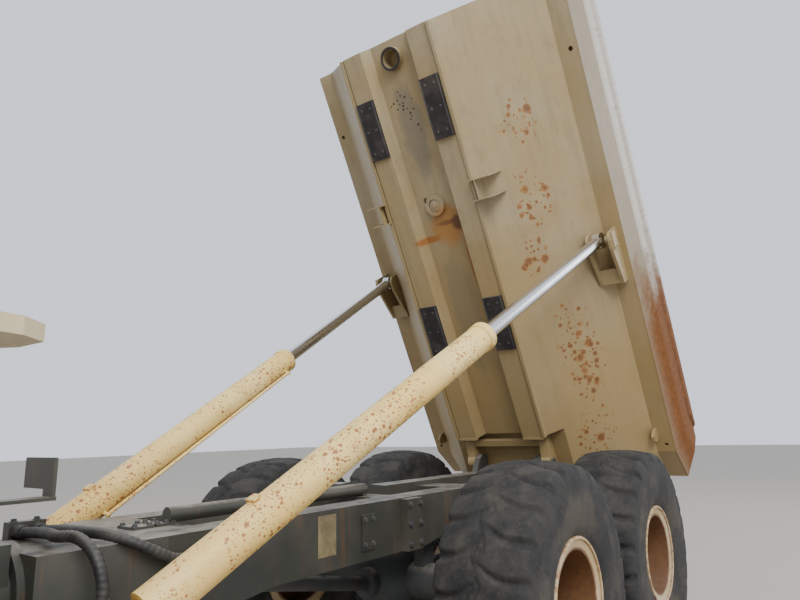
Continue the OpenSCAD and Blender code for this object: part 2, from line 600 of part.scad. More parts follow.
// Bed
// Straight part, cut off at the kink and by the leaning front
module bed_shell() color("#cfc3a2") at_mid() raised() difference() {
    union() {
        prism_x(section(BED_OUT), hinge_x + bed_rail_end, hinge_x + bed_front + lean_reach);
        prism_x(section(BED_TAIL), kink[0] - 400, hinge_x + bed_rail_end);
    }
    difference() {
        prism_x(section(BED_IN), kink[0] - 500, hinge_x + bed_front + lean_reach);
        ahead_of_front(-bed_wall);
    }
    ahead_of_front(0);
    beyond_kink(-1);
    for (p = PORTS) if (p[4] > BED_OUT[0][1]) cyl_z(hinge_x + p[0], 0, bed_bot, bed_bot + p[4], p[2]);
    both() for (h = LEDGE_HOLES) cyl_z(hinge_x + h[0], h[1], bed_bot + ledge_up - 10, bed_bot + ledge_up + 60, h[2]);
}
// Tail chute, turned up about the floor's kink and welded on there
module bed_chute() color("#cfc3a2") at_mid() raised() difference() {
    translate(kink) rotate([0, chute_tilt, 0]) translate(-kink) difference() {
        prism_x(section(BED_TAIL), kink[0] - chute_l, kink[0] + 400);
        prism_x(section(BED_IN), kink[0] - chute_l - 100, kink[0] + 500);
    }
    beyond_kink(1);
    // side walls trimmed level with the bed's top
    box(kink[0] - far, kink[0] + far, -wide, wide, bed_bot + bed_top, bed_bot + far);
}
// Everything behind (side -1) or ahead (side 1) of the kink's middle plane
module beyond_kink(side) {
    lean = tan(chute_tilt / 2);
    prism_y([kink_point(-400, lean), kink_point(far, lean), [kink[0] + side * far, kink[2] + far],
        [kink[0] + side * far, kink[2] - 400]], -wide, wide);
}
function kink_point(up, lean) = [kink[0] + up * lean, kink[2] + up];
// Everything ahead of the front wall's outer face, moved by shift
module ahead_of_front(shift) prism_y([front_point(-100, shift), [hinge_x + bed_front + far, bed_bot - 100],
    [hinge_x + bed_front + far, bed_bot + bed_top + 100], front_point(bed_top + 100, shift)], -wide, wide);
function front_point(up, shift) = [hinge_x + bed_front + shift + up * tan(front_lean), bed_bot + up];

module bed_fittings() color("#cfc3a2") at_mid() raised() {
    // rings of the exhaust port and of the plug
    for (p = PORTS) difference() {
        cyl_z(hinge_x + p[0], 0, bed_bot + p[3], bed_bot + BED_OUT[0][1], p[1]);
        cyl_z(hinge_x + p[0], 0, bed_bot + p[3] - 10, bed_bot + p[4], p[2]);
    }
    both() {
        difference() {
            prism_x([for (p = LIP) [p[0], p[1] + bed_bot]], hinge_x + bed_rail_end, hinge_x + bed_front);
            ahead_of_front(0);
        }
        box(hinge_x + end_plate[0][0], hinge_x + end_plate[0][1], end_plate[1][0], end_plate[1][1],
            bed_bot + end_plate[2][0], bed_bot + end_plate[2][1]);
        prism_y(on_bed(LUG), lug_y[0], lug_y[1]);
        bed_clip();
    }
}
// Channel bracket below the sloping side, with holes in its web
module bed_clip() difference() {
    union() {
        for (a = [CLIP_A[0], CLIP_A[1] - clip_t])
            box(hinge_x + a, hinge_x + a + clip_t, clip_y[0], clip_y[1], bed_bot + clip_low, bed_bot + 300);
        box(hinge_x + CLIP_A[0], hinge_x + CLIP_A[1], clip_web_y[0], clip_web_y[0] + clip_t, bed_bot + clip_low, bed_bot + 200);
    }
    for (a = CLIP_HOLES) cyl_y(hinge_x + a, clip_web_y[0] - 10, clip_web_y[0] + 20, bed_bot + clip_low + 40, clip_hole);
    prism_x(section(BED_OUT), hinge_x + bed_rail_end, hinge_x + bed_front);
    prism_x([for (p = LIP) [p[0], p[1] + bed_bot]], hinge_x + bed_rail_end, hinge_x + bed_front);
}
module bed_pads() color("#2a2524") at_mid() raised() both() for (s = PADS)
    box(hinge_x + s[0], hinge_x + s[1], pad_y[0], pad_y[1], bed_bot, bed_bot + pad_t);

module bed_hinge_arms() color("#cfc3a2") at_mid() raised() {
    both() difference() {
        union() {
            prism_y(ARM, arm_y[0], arm_y[1]);
            cyl_y(hinge_x, arm_y[0], arm_y[1], hinge_z, arm_r);
        }
        cyl_y(hinge_x, arm_y[0] - 15, arm_y[1] + 30, hinge_z, hinge_pin_r + fit);
    }
    box(hinge_x + bar_x[0], hinge_x + bar_x[1], -arm_y[0] - 5, arm_y[0] + 5, bed_bot + bar_up[0], bed_bot + bar_up[1]);
}

module ram_brackets() color("#cfc3a2") at_mid() raised() both() difference() {
    union() {
        for (y = EYE_EARS) {
            prism_y(on_bed(EYE_EAR), y[0], y[1]);
            cyl_y(hinge_x + eye_ahead, y[0], y[1], bed_bot + eye_up, ear_r);
        }
        for (y = EYE_PINS) cyl_y(hinge_x + eye_ahead, y[0], y[1], bed_bot + eye_up, base_pin_r);
        box(hinge_x + cover_a[0], hinge_x + cover_a[1], EYE_EARS[0][0], EYE_EARS[1][1], bed_bot + cover_up[0], bed_bot + cover_up[1]);
        box(hinge_x + keeper_a[0], hinge_x + keeper_a[1], EYE_EARS[1][1], EYE_EARS[1][1] + keeper_t,
            bed_bot + keeper_up[0], bed_bot + keeper_up[1]);
    }
    prism_x(section(BED_OUT), hinge_x + bed_rail_end, hinge_x + bed_front);
}

// Hoist cylinders, drawn along +Z from the base pin
module hoist_barrel() color("#cfc3a2") difference() {
    union() {
        sphere(r = ball_r);
        cylinder(h = tube_from_ball + 40, r = neck_r);
        translate([0, 0, tube_from_ball]) cylinder(h = gland_len - gland_l - tube_from_ball, r = barrel_r);
        translate([0, 0, gland_len - gland_l]) cylinder(h = gland_l, r = barrel_r + gland_lip);
        // feed pipe with its two fittings, and a clamp on the tube's upper side
        translate([pipe_at[0], pipe_at[1], pipe_ends[0]]) cylinder(h = pipe_ends[1] - pipe_ends[0], r = pipe_r);
        for (z = pipe_ends) bar([0, 0, z], [1.12 * pipe_at[0], 1.12 * pipe_at[1], z], fitting / 2);
        translate([-barrel_r - clamp_size[0] / 2, -clamp_size[1] / 2, clamp_at]) cube([clamp_size[0], clamp_size[1], clamp_size[2]]);
    }
    translate([0, 0, bore_from]) cylinder(h = gland_len, r = rod_r + fit);
}
module hoist_rod() color("#c4c8cc") {
    translate([0, 0, rod_from]) cylinder(h = hoist_len - rod_from - 20, r = rod_r);
    translate([0, 0, hoist_len]) rotate([90, 0, 0]) cylinder(h = 2 * eye_half, r = eye_r, center = true);
}
module hoist_barrel_left() at_mid() aim(hoist_base, hoist_eye) hoist_barrel();
module hoist_barrel_right() at_mid() mirror([0, 1, 0]) aim(hoist_base, hoist_eye) hoist_barrel();
module hoist_rod_left() at_mid() aim(hoist_base, hoist_eye) hoist_rod();
module hoist_rod_right() at_mid() mirror([0, 1, 0]) aim(hoist_base, hoist_eye) hoist_rod();

// Wheels
module wheel_at(i) at_mid() translate([WHEELS[i][0], 0, 0]) mirror([0, WHEELS[i][1] > 0 ? 0 : 1, 0]) children();
module tyre(i) color("#26282a") wheel_at(i) translate([0, track_y, 0]) rotate([90, 0, 0]) difference() {
    rotate_extrude($fn = 64) polygon(across(TYRE));
    grooves();
}
// Slanting grooves between the lugs of both shoulders
module grooves() for (side = [0, 1]) mirror([0, 0, side]) for (k = [0:lugs - 1])
    rotate([0, 0, (k + side * groove_step) * 360 / lugs]) translate([tyre_r - tread, 0, tyre_w / 2 + 20])
        rotate([groove_turn, 0, 0]) translate([0, -groove_w / 2, -groove_l]) cube([2 * tread, groove_w, groove_l + 40]);
module rim(i) color("#cfc3a2") wheel_at(i) translate([0, track_y, 0]) rotate([90, 0, 0])
    rotate_extrude($fn = 64) polygon(RIM);
module tyre_front_left() tyre(0);
module tyre_front_right() tyre(1);
module tyre_mid_left() tyre(2);
module tyre_mid_right() tyre(3);
module tyre_rear_left() tyre(4);
module tyre_rear_right() tyre(5);
module rim_front_left() rim(0);
module rim_front_right() rim(1);
module rim_mid_left() rim(2);
module rim_mid_right() rim(3);
module rim_rear_left() rim(4);
module rim_rear_right() rim(5);

// Steering cylinders, drawn along +Z from the base pin
module steer_pose() at_mid() translate([pivot_x, 0, 0]) aim(steer_base, steer_eye) children();
module steer_pose_right() at_mid() mirror([0, 1, 0]) translate([pivot_x, 0, 0]) aim(steer_base, steer_eye) children();
module steer_barrel() color("#3a3f3d") difference() {
    union() {
        sphere(r = steer_ball);
        cylinder(h = steer_tube, r = steer_r);
    }
    translate([0, 0, steer_r * 2]) cylinder(h = steer_tube, r = steer_rod_r + fit);
}
module steer_rod() color("#c4c8cc") {
    translate([0, 0, steer_rod_from]) cylinder(h = steer_len - steer_rod_from - 20, r = steer_rod_r);
    translate([0, 0, steer_len]) rotate([0, 90, 0]) cylinder(h = 2 * steer_eye_half, r = steer_r, center = true);
}
module steer_barrel_left() steer_pose() steer_barrel();
module steer_barrel_right() steer_pose_right() steer_barrel();
module steer_rod_left() steer_pose() steer_rod();
module steer_rod_right() steer_pose_right() steer_rod();

// Tractor
module tractor_frame() color("#3a3f3d") at_mid() {
    both() {
        prism_y(TRACTOR_RAIL, tractor_rail_y[0], tractor_rail_y[1]);
        // steering cylinder bases above and below the ball
        translate([pivot_x + steer_base[0], 0, 0]) difference() {
            union() {
                for (b = STEER_BASE) box(-steer_base_half, steer_base_half, b[0], b[1], b[2], b[3]);
                cyl_z(0, steer_base[1], STEER_BASE[1][2] + 10, STEER_BASE[0][3] - 10, steer_pin_r);
            }
            translate([0, steer_base[1], steer_base[2]]) sphere(r = steer_ball + fit);
        }
        for (b = HOOD_POST) block(b);
        cyl_y(hood_pin[0], hood_lug[1][0] - 15, hood_lug[1][1] + 5, hood_pin[1], hood_pin_r);
    }
    for (b = TRACTOR_CROSS) wide_block(b);
    for (b = STAND) block(b);
    // pivot's upper and lower plates and its pin
    for (z = PIVOT_PLATES) cyl_z(pivot_x, 0, z[0], z[1], boss_r);
    cyl_z(pivot_x, 0, PIVOT_PLATES[0][0] + 10, PIVOT_PLATES[1][1] - 10, pivot_r);
}
module front_axle() color("#343c3e") at_mid() axle(front_x, tractor_rail_y[0] + 5, tractor_rail_y[1] - 5);
module front_suspension() color("#252829") at_mid() both()
    box(front_x - 90, front_x + 90, tractor_rail_y[0] + 10, tractor_rail_y[1] - 10, saddle_top, TRACTOR_RAIL[0][1]);
module engine() color("#5a5d5c") at_mid() wide_block(ENGINE);
module bumper() color("#3a3f3d") at_mid() {
    prism_z(across(BUMPER), bumper_z[0], bumper_z[1]);
    both() {
        difference() {
            prism_y(TOW_EYE, tow_y[0], tow_y[1]);
            cyl_y(tow_bore[0], tow_y[0] - 10, tow_y[1] + 10, tow_bore[1], tow_bore[2]);
        }
        block(LAMP_BOX);
    }
}
module headlamps() color("#dfe3e4") at_mid() both() block(LENS);
module hood() color("#cfc3a2") at_mid() {
    difference() {
        prism_y(moved(HOOD, hood_x, hood_z), -hood_half, hood_half);
        prism_y(moved(HOOD_IN, hood_x, hood_z), hood_wall - hood_half, hood_half - hood_wall);
        both() for (k = [0:louvres - 1])
            box(hood_x + LOUVRE[0] + k * LOUVRE[1], hood_x + LOUVRE[0] + k * LOUVRE[1] + LOUVRE[2],
                hood_half - hood_wall - 10, hood_half + 10, hood_z + LOUVRE[3], hood_z + LOUVRE[4]);
    }
    // hinge lugs
    both() difference() {
        box(hood_lug[0][0], hood_lug[0][1], hood_lug[1][0], hood_lug[1][1], hood_lug[2][0], hood_lug[2][1]);
        cyl_y(hood_pin[0], hood_lug[1][0] - 15, hood_lug[1][1] + 15, hood_pin[1], hood_pin_r + fit);
    }
}
// Grille against the hood's sloping front: a border, a back plate and bars
module grille() color("#2b2d2d") at_mid() {
    difference() {
        prism_y([hood_front(grille_z[0], 0.1), hood_front(grille_z[1], 0.1), [hood_x + grille_x, hood_z + grille_z[1]],
            [hood_x + grille_x, hood_z + grille_z[0]]], -grille_half, grille_half);
        prism_y([hood_front(grille_z[0] + grille_edge, 12), hood_front(grille_z[1] - grille_edge, 12),
            [hood_x + grille_x + 10, hood_z + grille_z[1] - grille_edge], [hood_x + grille_x + 10, hood_z + grille_z[0] + grille_edge]],
            grille_edge - grille_half, grille_half - grille_edge);
    }
    pitch = (grille_z[1] - grille_z[0] - 2 * grille_edge) / (grille_bars + 1);
    for (k = [1:grille_bars]) {
        z = grille_z[0] + grille_edge + k * pitch;
        prism_y([hood_front(z - bar_half, 10), hood_front(z + bar_half, 10), [hood_x + grille_x - 6, hood_z + z + bar_half],
            [hood_x + grille_x - 6, hood_z + z - bar_half]], grille_edge - grille_half - 5, grille_half - grille_edge + 5);
    }
}
// Point on the hood's front face at a height above its lower edge, moved ahead by off
function hood_front(up, off) = [hood_x + HOOD[5][0] + off + (HOOD[4][0] - HOOD[5][0]) * up / HOOD[4][1], hood_z + up];

// Box in the cab from its rear face and floor: [x from, x to, height from, height to], between y0 and y1
module cab_box(b, y0, y1) box(cab_x + b[0], cab_x + b[1], y0, y1, cab_floor + b[2], cab_floor + b[3]);
module cab() color("#cfc3a2") at_mid() {
    difference() {
        prism_y(moved(CAB, cab_x, cab_floor), -cab_half, cab_half);
        prism_y(moved(CAB_IN, cab_x, cab_floor), cab_wall - cab_half, cab_half - cab_wall);
        cab_box(DOORWAY, cab_half - cab_wall - 10, cab_half + 10);
        cab_box(SIDE_WINDOW, -cab_half - 10, cab_wall - cab_half + 10);
        box(cab_x - 20, cab_x + cab_wall + 20, REAR_WINDOW[0], REAR_WINDOW[1], cab_floor + REAR_WINDOW[2], cab_floor + REAR_WINDOW[3]);
        prism_y(moved(SCREEN, cab_x, cab_floor), -screen_half, screen_half);
    }
    // door hinge knuckles and pins
    for (z = DOOR_HINGES) translate([cab_x + door_pin[0], cab_half, cab_floor + z]) {
        cyl_z(0, door_pin[1], -knuckle_l - 2, -2, knuckle_r);
        cyl_z(0, door_pin[1], -10, knuckle_l + 2, door_pin_r);
        box(3, 33, -1, door_pin[1] + 6, -knuckle_l - 2, -2);
    }
    // guard behind the cab, a plate with a turned-up rim
    guard = moved(GUARD, cab_x, 0);
    prism_z(guard, cab_floor + guard_z[0], cab_floor + guard_z[1]);
    difference() {
        prism_z(guard, cab_floor + guard_z[1] - 5, cab_floor + guard_z[1] + guard_rim);
        prism_z(moved(GUARD_IN, cab_x, 0), cab_floor + guard_z[1] - 10, cab_floor + guard_z[1] + guard_rim + 10);
    }
}
module door() color("#cfc3a2") at_mid() {
    difference() {
        box(cab_x + DOORWAY[0] + door_gap, cab_x + DOORWAY[1] - door_gap, cab_half - cab_wall, cab_half,
            cab_floor + DOORWAY[2] + door_gap, cab_floor + DOORWAY[3] - door_gap);
        cab_box(DOOR_WINDOW, cab_half - cab_wall - 10, cab_half + 10);
    }
    for (z = DOOR_HINGES) translate([cab_x + door_pin[0], cab_half, cab_floor + z]) difference() {
        union() {
            cyl_z(0, door_pin[1], 0, knuckle_l, knuckle_r);
            box(-57, 0, -1, door_pin[1] + 6, 0, knuckle_l);
        }
        cyl_z(0, door_pin[1], -10, knuckle_l + 20, door_pin_r + fit);
    }
}
module door_glass() color([0.5, 0.6, 0.65, 0.4]) at_mid() cab_box(DOOR_WINDOW, cab_half - glass_in[1], cab_half - glass_in[0]);
module cab_glass() color([0.5, 0.6, 0.65, 0.4]) at_mid() {
    cab_box(SIDE_WINDOW, glass_in[0] - cab_half, glass_in[1] - cab_half);
    box(cab_x + glass_in[0], cab_x + glass_in[1], REAR_WINDOW[0], REAR_WINDOW[1], cab_floor + REAR_WINDOW[2], cab_floor + REAR_WINDOW[3]);
    prism_y(moved(SCREEN_GLASS, cab_x, cab_floor), -screen_half, screen_half);
}
module in_cab() at_mid() translate([cab_x, 0, cab_floor]) children();
module seat() color("#333436") in_cab() for (b = SEAT) wide_block(b);
module console() color("#333436") in_cab() {
    wide_block(CONSOLE);
    bar(column_from, column_to, column_r);
    aim(wheel_at_cab, wheel_to) {
        rotate_extrude() translate([wheel_ring[0], 0]) circle(r = wheel_ring[1]);
        for (a = [0, 120, 240]) rotate([0, 90, a]) cylinder(h = wheel_ring[0], r = spoke_r);
    }
}
module platform() color("#3a3f3d") at_mid() {
    box(platform_x[0], platform_x[1], -platform_half, platform_half, cab_floor - platform_t, cab_floor);
    both() for (p = POSTS) box(p[0], p[1], post_y[0], post_y[1], p[2], cab_floor - platform_t);
}
module fenders() color("#cfc3a2") at_mid() both() prism_y(FENDER, fender_y[0], fender_y[1]);
module fuel_tank() color("#3a3f3d") at_mid() prism_x(FUEL, fuel_x[0], fuel_x[1]);
module hydraulic_tank() color("#3a3f3d") at_mid() prism_x(OIL, oil_x[0], oil_x[1]);
module steps() color("#3a3f3d") at_mid() {
    for (z = TREADS) box(step_x[0], step_x[1], step_y[0], step_y[1], z, z + tread_t);
    for (x = [step_x[0] - 18, step_x[1] - 2]) box(x, x + step_side, step_y[0], step_y[1], TREADS[0], fender_z);
    box(step_x[0] - 18, step_x[1] + 20, step_arm[0], step_y[0] + 10, step_arm[1], step_arm[2]);
}
module handrails() color("#2b2d2d") at_mid() both() {
    for (x = rail_x) cyl_z(x, rail_y, fender_z, fender_z + RAIL_BARS[1], rail_r);
    for (z = RAIL_BARS) cyl_x(rail_x[0], rail_x[1], rail_y, fender_z + z, rail_r);
}
module exhaust() color("#4c4038") at_mid() translate([exhaust_at[0], exhaust_at[1], fender_z]) rotate_extrude() polygon(EXHAUST);
module air_cleaner() color("#3a3f3d") at_mid() translate([cleaner_at[0], cleaner_at[1], fender_z]) rotate_extrude() polygon(CLEANER);
module mirrors() color("#2b2d2d") in_cab() both() {
    cyl_y(mirror_arm[0], cab_half, MIRROR[2] + 60, mirror_arm[1], mirror_arm[2]);
    block(MIRROR);
}

rear_frame();
mid_axle();
rear_axle();
walking_beams();
axle_links();
propshafts();
safety_prop();
frame_hoses();
tail_lamps();
hitch();
bed_shell();
bed_chute();
bed_fittings();
bed_pads();
bed_hinge_arms();
ram_brackets();
hoist_barrel_left();
hoist_barrel_right();
hoist_rod_left();
hoist_rod_right();
tyre_front_left();
tyre_front_right();
tyre_mid_left();
tyre_mid_right();
tyre_rear_left();
tyre_rear_right();
rim_front_left();
rim_front_right();
rim_mid_left();
rim_mid_right();
rim_rear_left();
rim_rear_right();
steer_barrel_left();
steer_barrel_right();
steer_rod_left();
steer_rod_right();
tractor_frame();
front_axle();
front_suspension();
engine();
bumper();
hood();
grille();
cab();
door();
door_glass();
cab_glass();
seat();
console();
fenders();
fuel_tank();
hydraulic_tank();
steps();
handrails();
exhaust();
air_cleaner();
headlamps();
mirrors();
platform();
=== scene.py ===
"""Looks of the articulated dump truck: finishes, tyre tread, small fittings, light and camera.

Places are metres in the truck's frame: +X ahead, +Y to its left, +Z up, ground at Z = 0. Places along the
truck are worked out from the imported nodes, and from the middle axle, MID.
"""

import json
import logging
import math
from dataclasses import dataclass
from enum import Enum
from typing import Sequence

import bmesh
import bpy
from mathutils import Matrix, Vector

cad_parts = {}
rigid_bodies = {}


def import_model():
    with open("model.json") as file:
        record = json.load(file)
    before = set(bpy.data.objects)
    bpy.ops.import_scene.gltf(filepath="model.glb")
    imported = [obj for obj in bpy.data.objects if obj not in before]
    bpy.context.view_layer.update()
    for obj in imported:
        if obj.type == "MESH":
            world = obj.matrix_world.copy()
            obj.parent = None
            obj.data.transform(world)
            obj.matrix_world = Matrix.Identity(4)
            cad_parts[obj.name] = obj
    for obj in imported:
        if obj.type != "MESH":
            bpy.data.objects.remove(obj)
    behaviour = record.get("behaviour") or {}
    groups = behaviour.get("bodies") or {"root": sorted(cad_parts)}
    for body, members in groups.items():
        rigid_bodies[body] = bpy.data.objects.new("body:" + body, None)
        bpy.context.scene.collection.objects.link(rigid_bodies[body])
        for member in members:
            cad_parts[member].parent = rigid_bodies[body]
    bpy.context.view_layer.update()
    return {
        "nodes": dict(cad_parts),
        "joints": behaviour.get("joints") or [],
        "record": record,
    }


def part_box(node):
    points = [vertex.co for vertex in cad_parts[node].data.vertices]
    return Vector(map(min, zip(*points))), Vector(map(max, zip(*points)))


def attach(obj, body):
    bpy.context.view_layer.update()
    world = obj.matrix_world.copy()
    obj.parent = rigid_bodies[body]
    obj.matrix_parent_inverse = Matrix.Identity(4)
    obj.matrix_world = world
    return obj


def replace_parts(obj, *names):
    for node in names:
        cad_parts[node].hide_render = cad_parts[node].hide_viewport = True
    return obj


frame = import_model()
LOG = logging.getLogger("truck")

Vec3 = tuple[float, float, float]
Rgb = tuple[float, float, float]
Socket = bpy.types.NodeSocket
Material = bpy.types.Material
Piece = bpy.types.Object


def joint(name: str) -> dict:
    """Joint of the frame by its name."""
    return next(j for j in frame["joints"] if j["name"] == name)


def middle(node: str) -> Vector:
    """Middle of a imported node's box."""
    low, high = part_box(node)
    return (Vector(low) + Vector(high)) / 2


MID: float = middle("tyre_mid_left").x
AXLE: float = middle("tyre_mid_left").z
HINGE: Vector = Vector(joint("bed_hinge")["pos_m"])
TILT: float = math.radians(joint("bed_hinge")["range_deg"][1])
BED_TURN: Matrix = Matrix.Translation(HINGE) @ Matrix.Rotation(-TILT, 4, "Y")
BED_LEAN: Vec3 = (0, -TILT, 0)
# Metres from the bed's hinge down to the face of its pads
PADS_UNDER_HINGE: float = 0.103


def on_bed(ahead: float, left: float, up: float) -> Vector:
    """Place on the raised bed of a point given in metres ahead of, left of and above its hinge."""
    return BED_TURN @ Vector((ahead, left, up))


def under_bed(ahead: float, left: float, above_pads: float) -> Matrix:
    """Matrix on the raised bed, at metres ahead of its hinge, to the left, and above its pads' face."""
    return BED_TURN @ Matrix.Translation((ahead, left, above_pads - PADS_UNDER_HINGE))


def on_truck(x: float, y: float, z: float) -> Vector:
    """Place given in millimetres from the middle axle's centre, as in the part's source."""
    return Vector((x / 1000 + MID, y / 1000, z / 1000 + AXLE))


class Graph:
    """Node tree of one material, with short calls for what the finishes share."""

    def __init__(self, name: str) -> None:
        """Starts a material with only a principled shader.

        Args:
            name: the material's name.
        """
        self.material = bpy.data.materials.new(name)
        self.material.use_nodes = True
        self.tree = self.material.node_tree
        self.tree.nodes.clear()
        self.shader = self.tree.nodes.new("ShaderNodeBsdfPrincipled")
        self.node("ShaderNodeOutputMaterial", {"Surface": self.shader.outputs[0]}, None)
        self.coords: Socket = self.node("ShaderNodeTexCoord", {}, "Object")

    def fill(self, socket: Socket, value: object) -> None:
        """Links a socket, or sets its plain value.

        Args:
            socket: the input to fill.
            value: another node's output, a number, a colour or a vector.
        """
        if isinstance(value, bpy.types.NodeSocket):
            self.tree.links.new(value, socket)
        elif isinstance(value, tuple) and len(value) == 3 and socket.type == "RGBA":
            socket.default_value = (*value, 1.0)
        else:
            socket.default_value = value

    def set(self, **inputs: object) -> None:
        """Fills the shader's inputs, named with underscores for blanks."""
        for key, value in inputs.items():
            self.fill(self.shader.inputs[key.replace("_", " ")], value)

    def node(self, kind: str, inputs: dict[int | str, object], out: int | str | None = 0,
             **settings: object) -> Socket | None:
        """Adds a node.

        Args:
            kind: the node's type.
            inputs: what goes into its inputs, by name or number.
            out: the output that is wanted, if any.
            settings: what else is set on it.

        Returns:
            The output.
        """
        node = self.tree.nodes.new(kind)
        for key, value in settings.items():
            setattr(node, key, value)
        for key, value in inputs.items():
            self.fill(node.inputs[key], value)
        return None if out is None else node.outputs[out]

    def place(self, at: Vec3 = (0, 0, 0), turn: Vec3 = (0, 0, 0), scale: Vec3 = (1, 1, 1)) -> Socket:
        """Coordinates counted from a place, along turned axes, in units of the scale's lengths."""
        inputs = {"Vector": self.coords, "Location": at, "Rotation": turn, "Scale": scale}
        return self.node("ShaderNodeMapping", inputs, vector_type="TEXTURE")

    def noise(self, scale: float, detail: float = 4.0, rough: float = 0.55,
              at: Socket | None = None) -> Socket:
        """Noise from 0 to 1, with so many cells per metre, octaves, and strength of the finer octaves."""
        inputs = {"Vector": at or self.coords, "Scale": scale, "Detail": detail, "Roughness": rough}
        return self.node("ShaderNodeTexNoise", inputs)

    def cells(self, scale: float) -> Socket:
        """Distance, in cells, to the nearest of scattered points, so many per metre."""
        return self.node("ShaderNodeTexVoronoi", {"Vector": self.coords, "Scale": scale}, "Distance")

    def math(self, kind: str, a: object, b: object = 0.0, clamp: bool = False) -> Socket:
        """One sum on two numbers, kept from 0 to 1 if clamped."""
        return self.node("ShaderNodeMath", {0: a, 1: b}, operation=kind, use_clamp=clamp)

    def mul(self, a: object, b: object, clamp: bool = False) -> Socket:
        """Product of two numbers."""
        return self.math("MULTIPLY", a, b, clamp)

    def add(self, a: object, b: object, clamp: bool = False) -> Socket:
        """Sum of two numbers."""
        return self.math("ADD", a, b, clamp)

    def sub(self, a: object, b: object) -> Socket:
        """First number less the second."""
        return self.math("SUBTRACT", a, b)

    def step(self, value: Socket, low: float, high: float) -> Socket:
        """Smooth step from 0 at low to 1 at high, where low may be the larger.

        Args:
            value: what is stepped.
            low: value that gives 0.
            high: value that gives 1.

        Returns:
            The step, from 0 to 1.
        """
        first, last = (1.0, 0.0) if low > high else (0.0, 1.0)
        inputs = {"Value": value, "From Min": min(low, high), "From Max": max(low, high),
                  "To Min": first, "To Max": last}
        return self.node("ShaderNodeMapRange", inputs, interpolation_type="SMOOTHSTEP")

    def mix(self, amount: object, a: object, b: object) -> Socket:
        """Mix of two colours, all a at 0 and all b at 1."""
        return self.node("ShaderNodeMix", {0: amount, 6: a, 7: b}, 2, data_type="RGBA")

    def split(self, vector: Socket) -> tuple[Socket, Socket, Socket]:
        """X, Y and Z of a vector."""
        x = self.node("ShaderNodeSeparateXYZ", {0: vector})
        return x, x.node.outputs[1], x.node.outputs[2]

    def facing_up(self) -> Socket:
        """1 on faces that look up, 0 on the others."""
        normal = self.node("ShaderNodeNewGeometry", {}, "Normal")
        return self.step(self.split(normal)[2], 0.5, 0.95)

    def from_axle(self, axle: float, height: float) -> Socket:
        """Metres from a wheel's axle, given by its place along X and its height."""
        across, _, up = self.split(self.place((axle, 0, height)))
        return self.math("SQRT", self.add(self.mul(across, across), self.mul(up, up)))

    def blot(self, at: Socket, soft: float) -> Socket:
        """1 at the coordinates' origin, 0 from one unit out, fading over a share of the way."""
        reach = self.node("ShaderNodeVectorMath", {0: at}, "Value", operation="LENGTH")
        return self.step(reach, 1.0, 1.0 - soft)

    def bump(self, height: Socket, distance: float, strength: float = 0.5,
             over: Socket | None = None) -> Socket:
        """Normal with a relief.

        Args:
            height: the relief, from 0 to 1.
            distance: its height in metres.
            strength: share of it that shows.
            over: an earlier relief that this one lies on.

        Returns:
            The normal.
        """
        inputs: dict[int | str, object] = {"Strength": strength, "Distance": distance, "Height": height}
        if over is not None:
            inputs["Normal"] = over
        return self.node("ShaderNodeBump", inputs)


RUST_DARK: Rgb = (0.075, 0.024, 0.009)
RUST_WARM: Rgb = (0.26, 0.095, 0.026)
DUST: Rgb = (0.25, 0.225, 0.185)


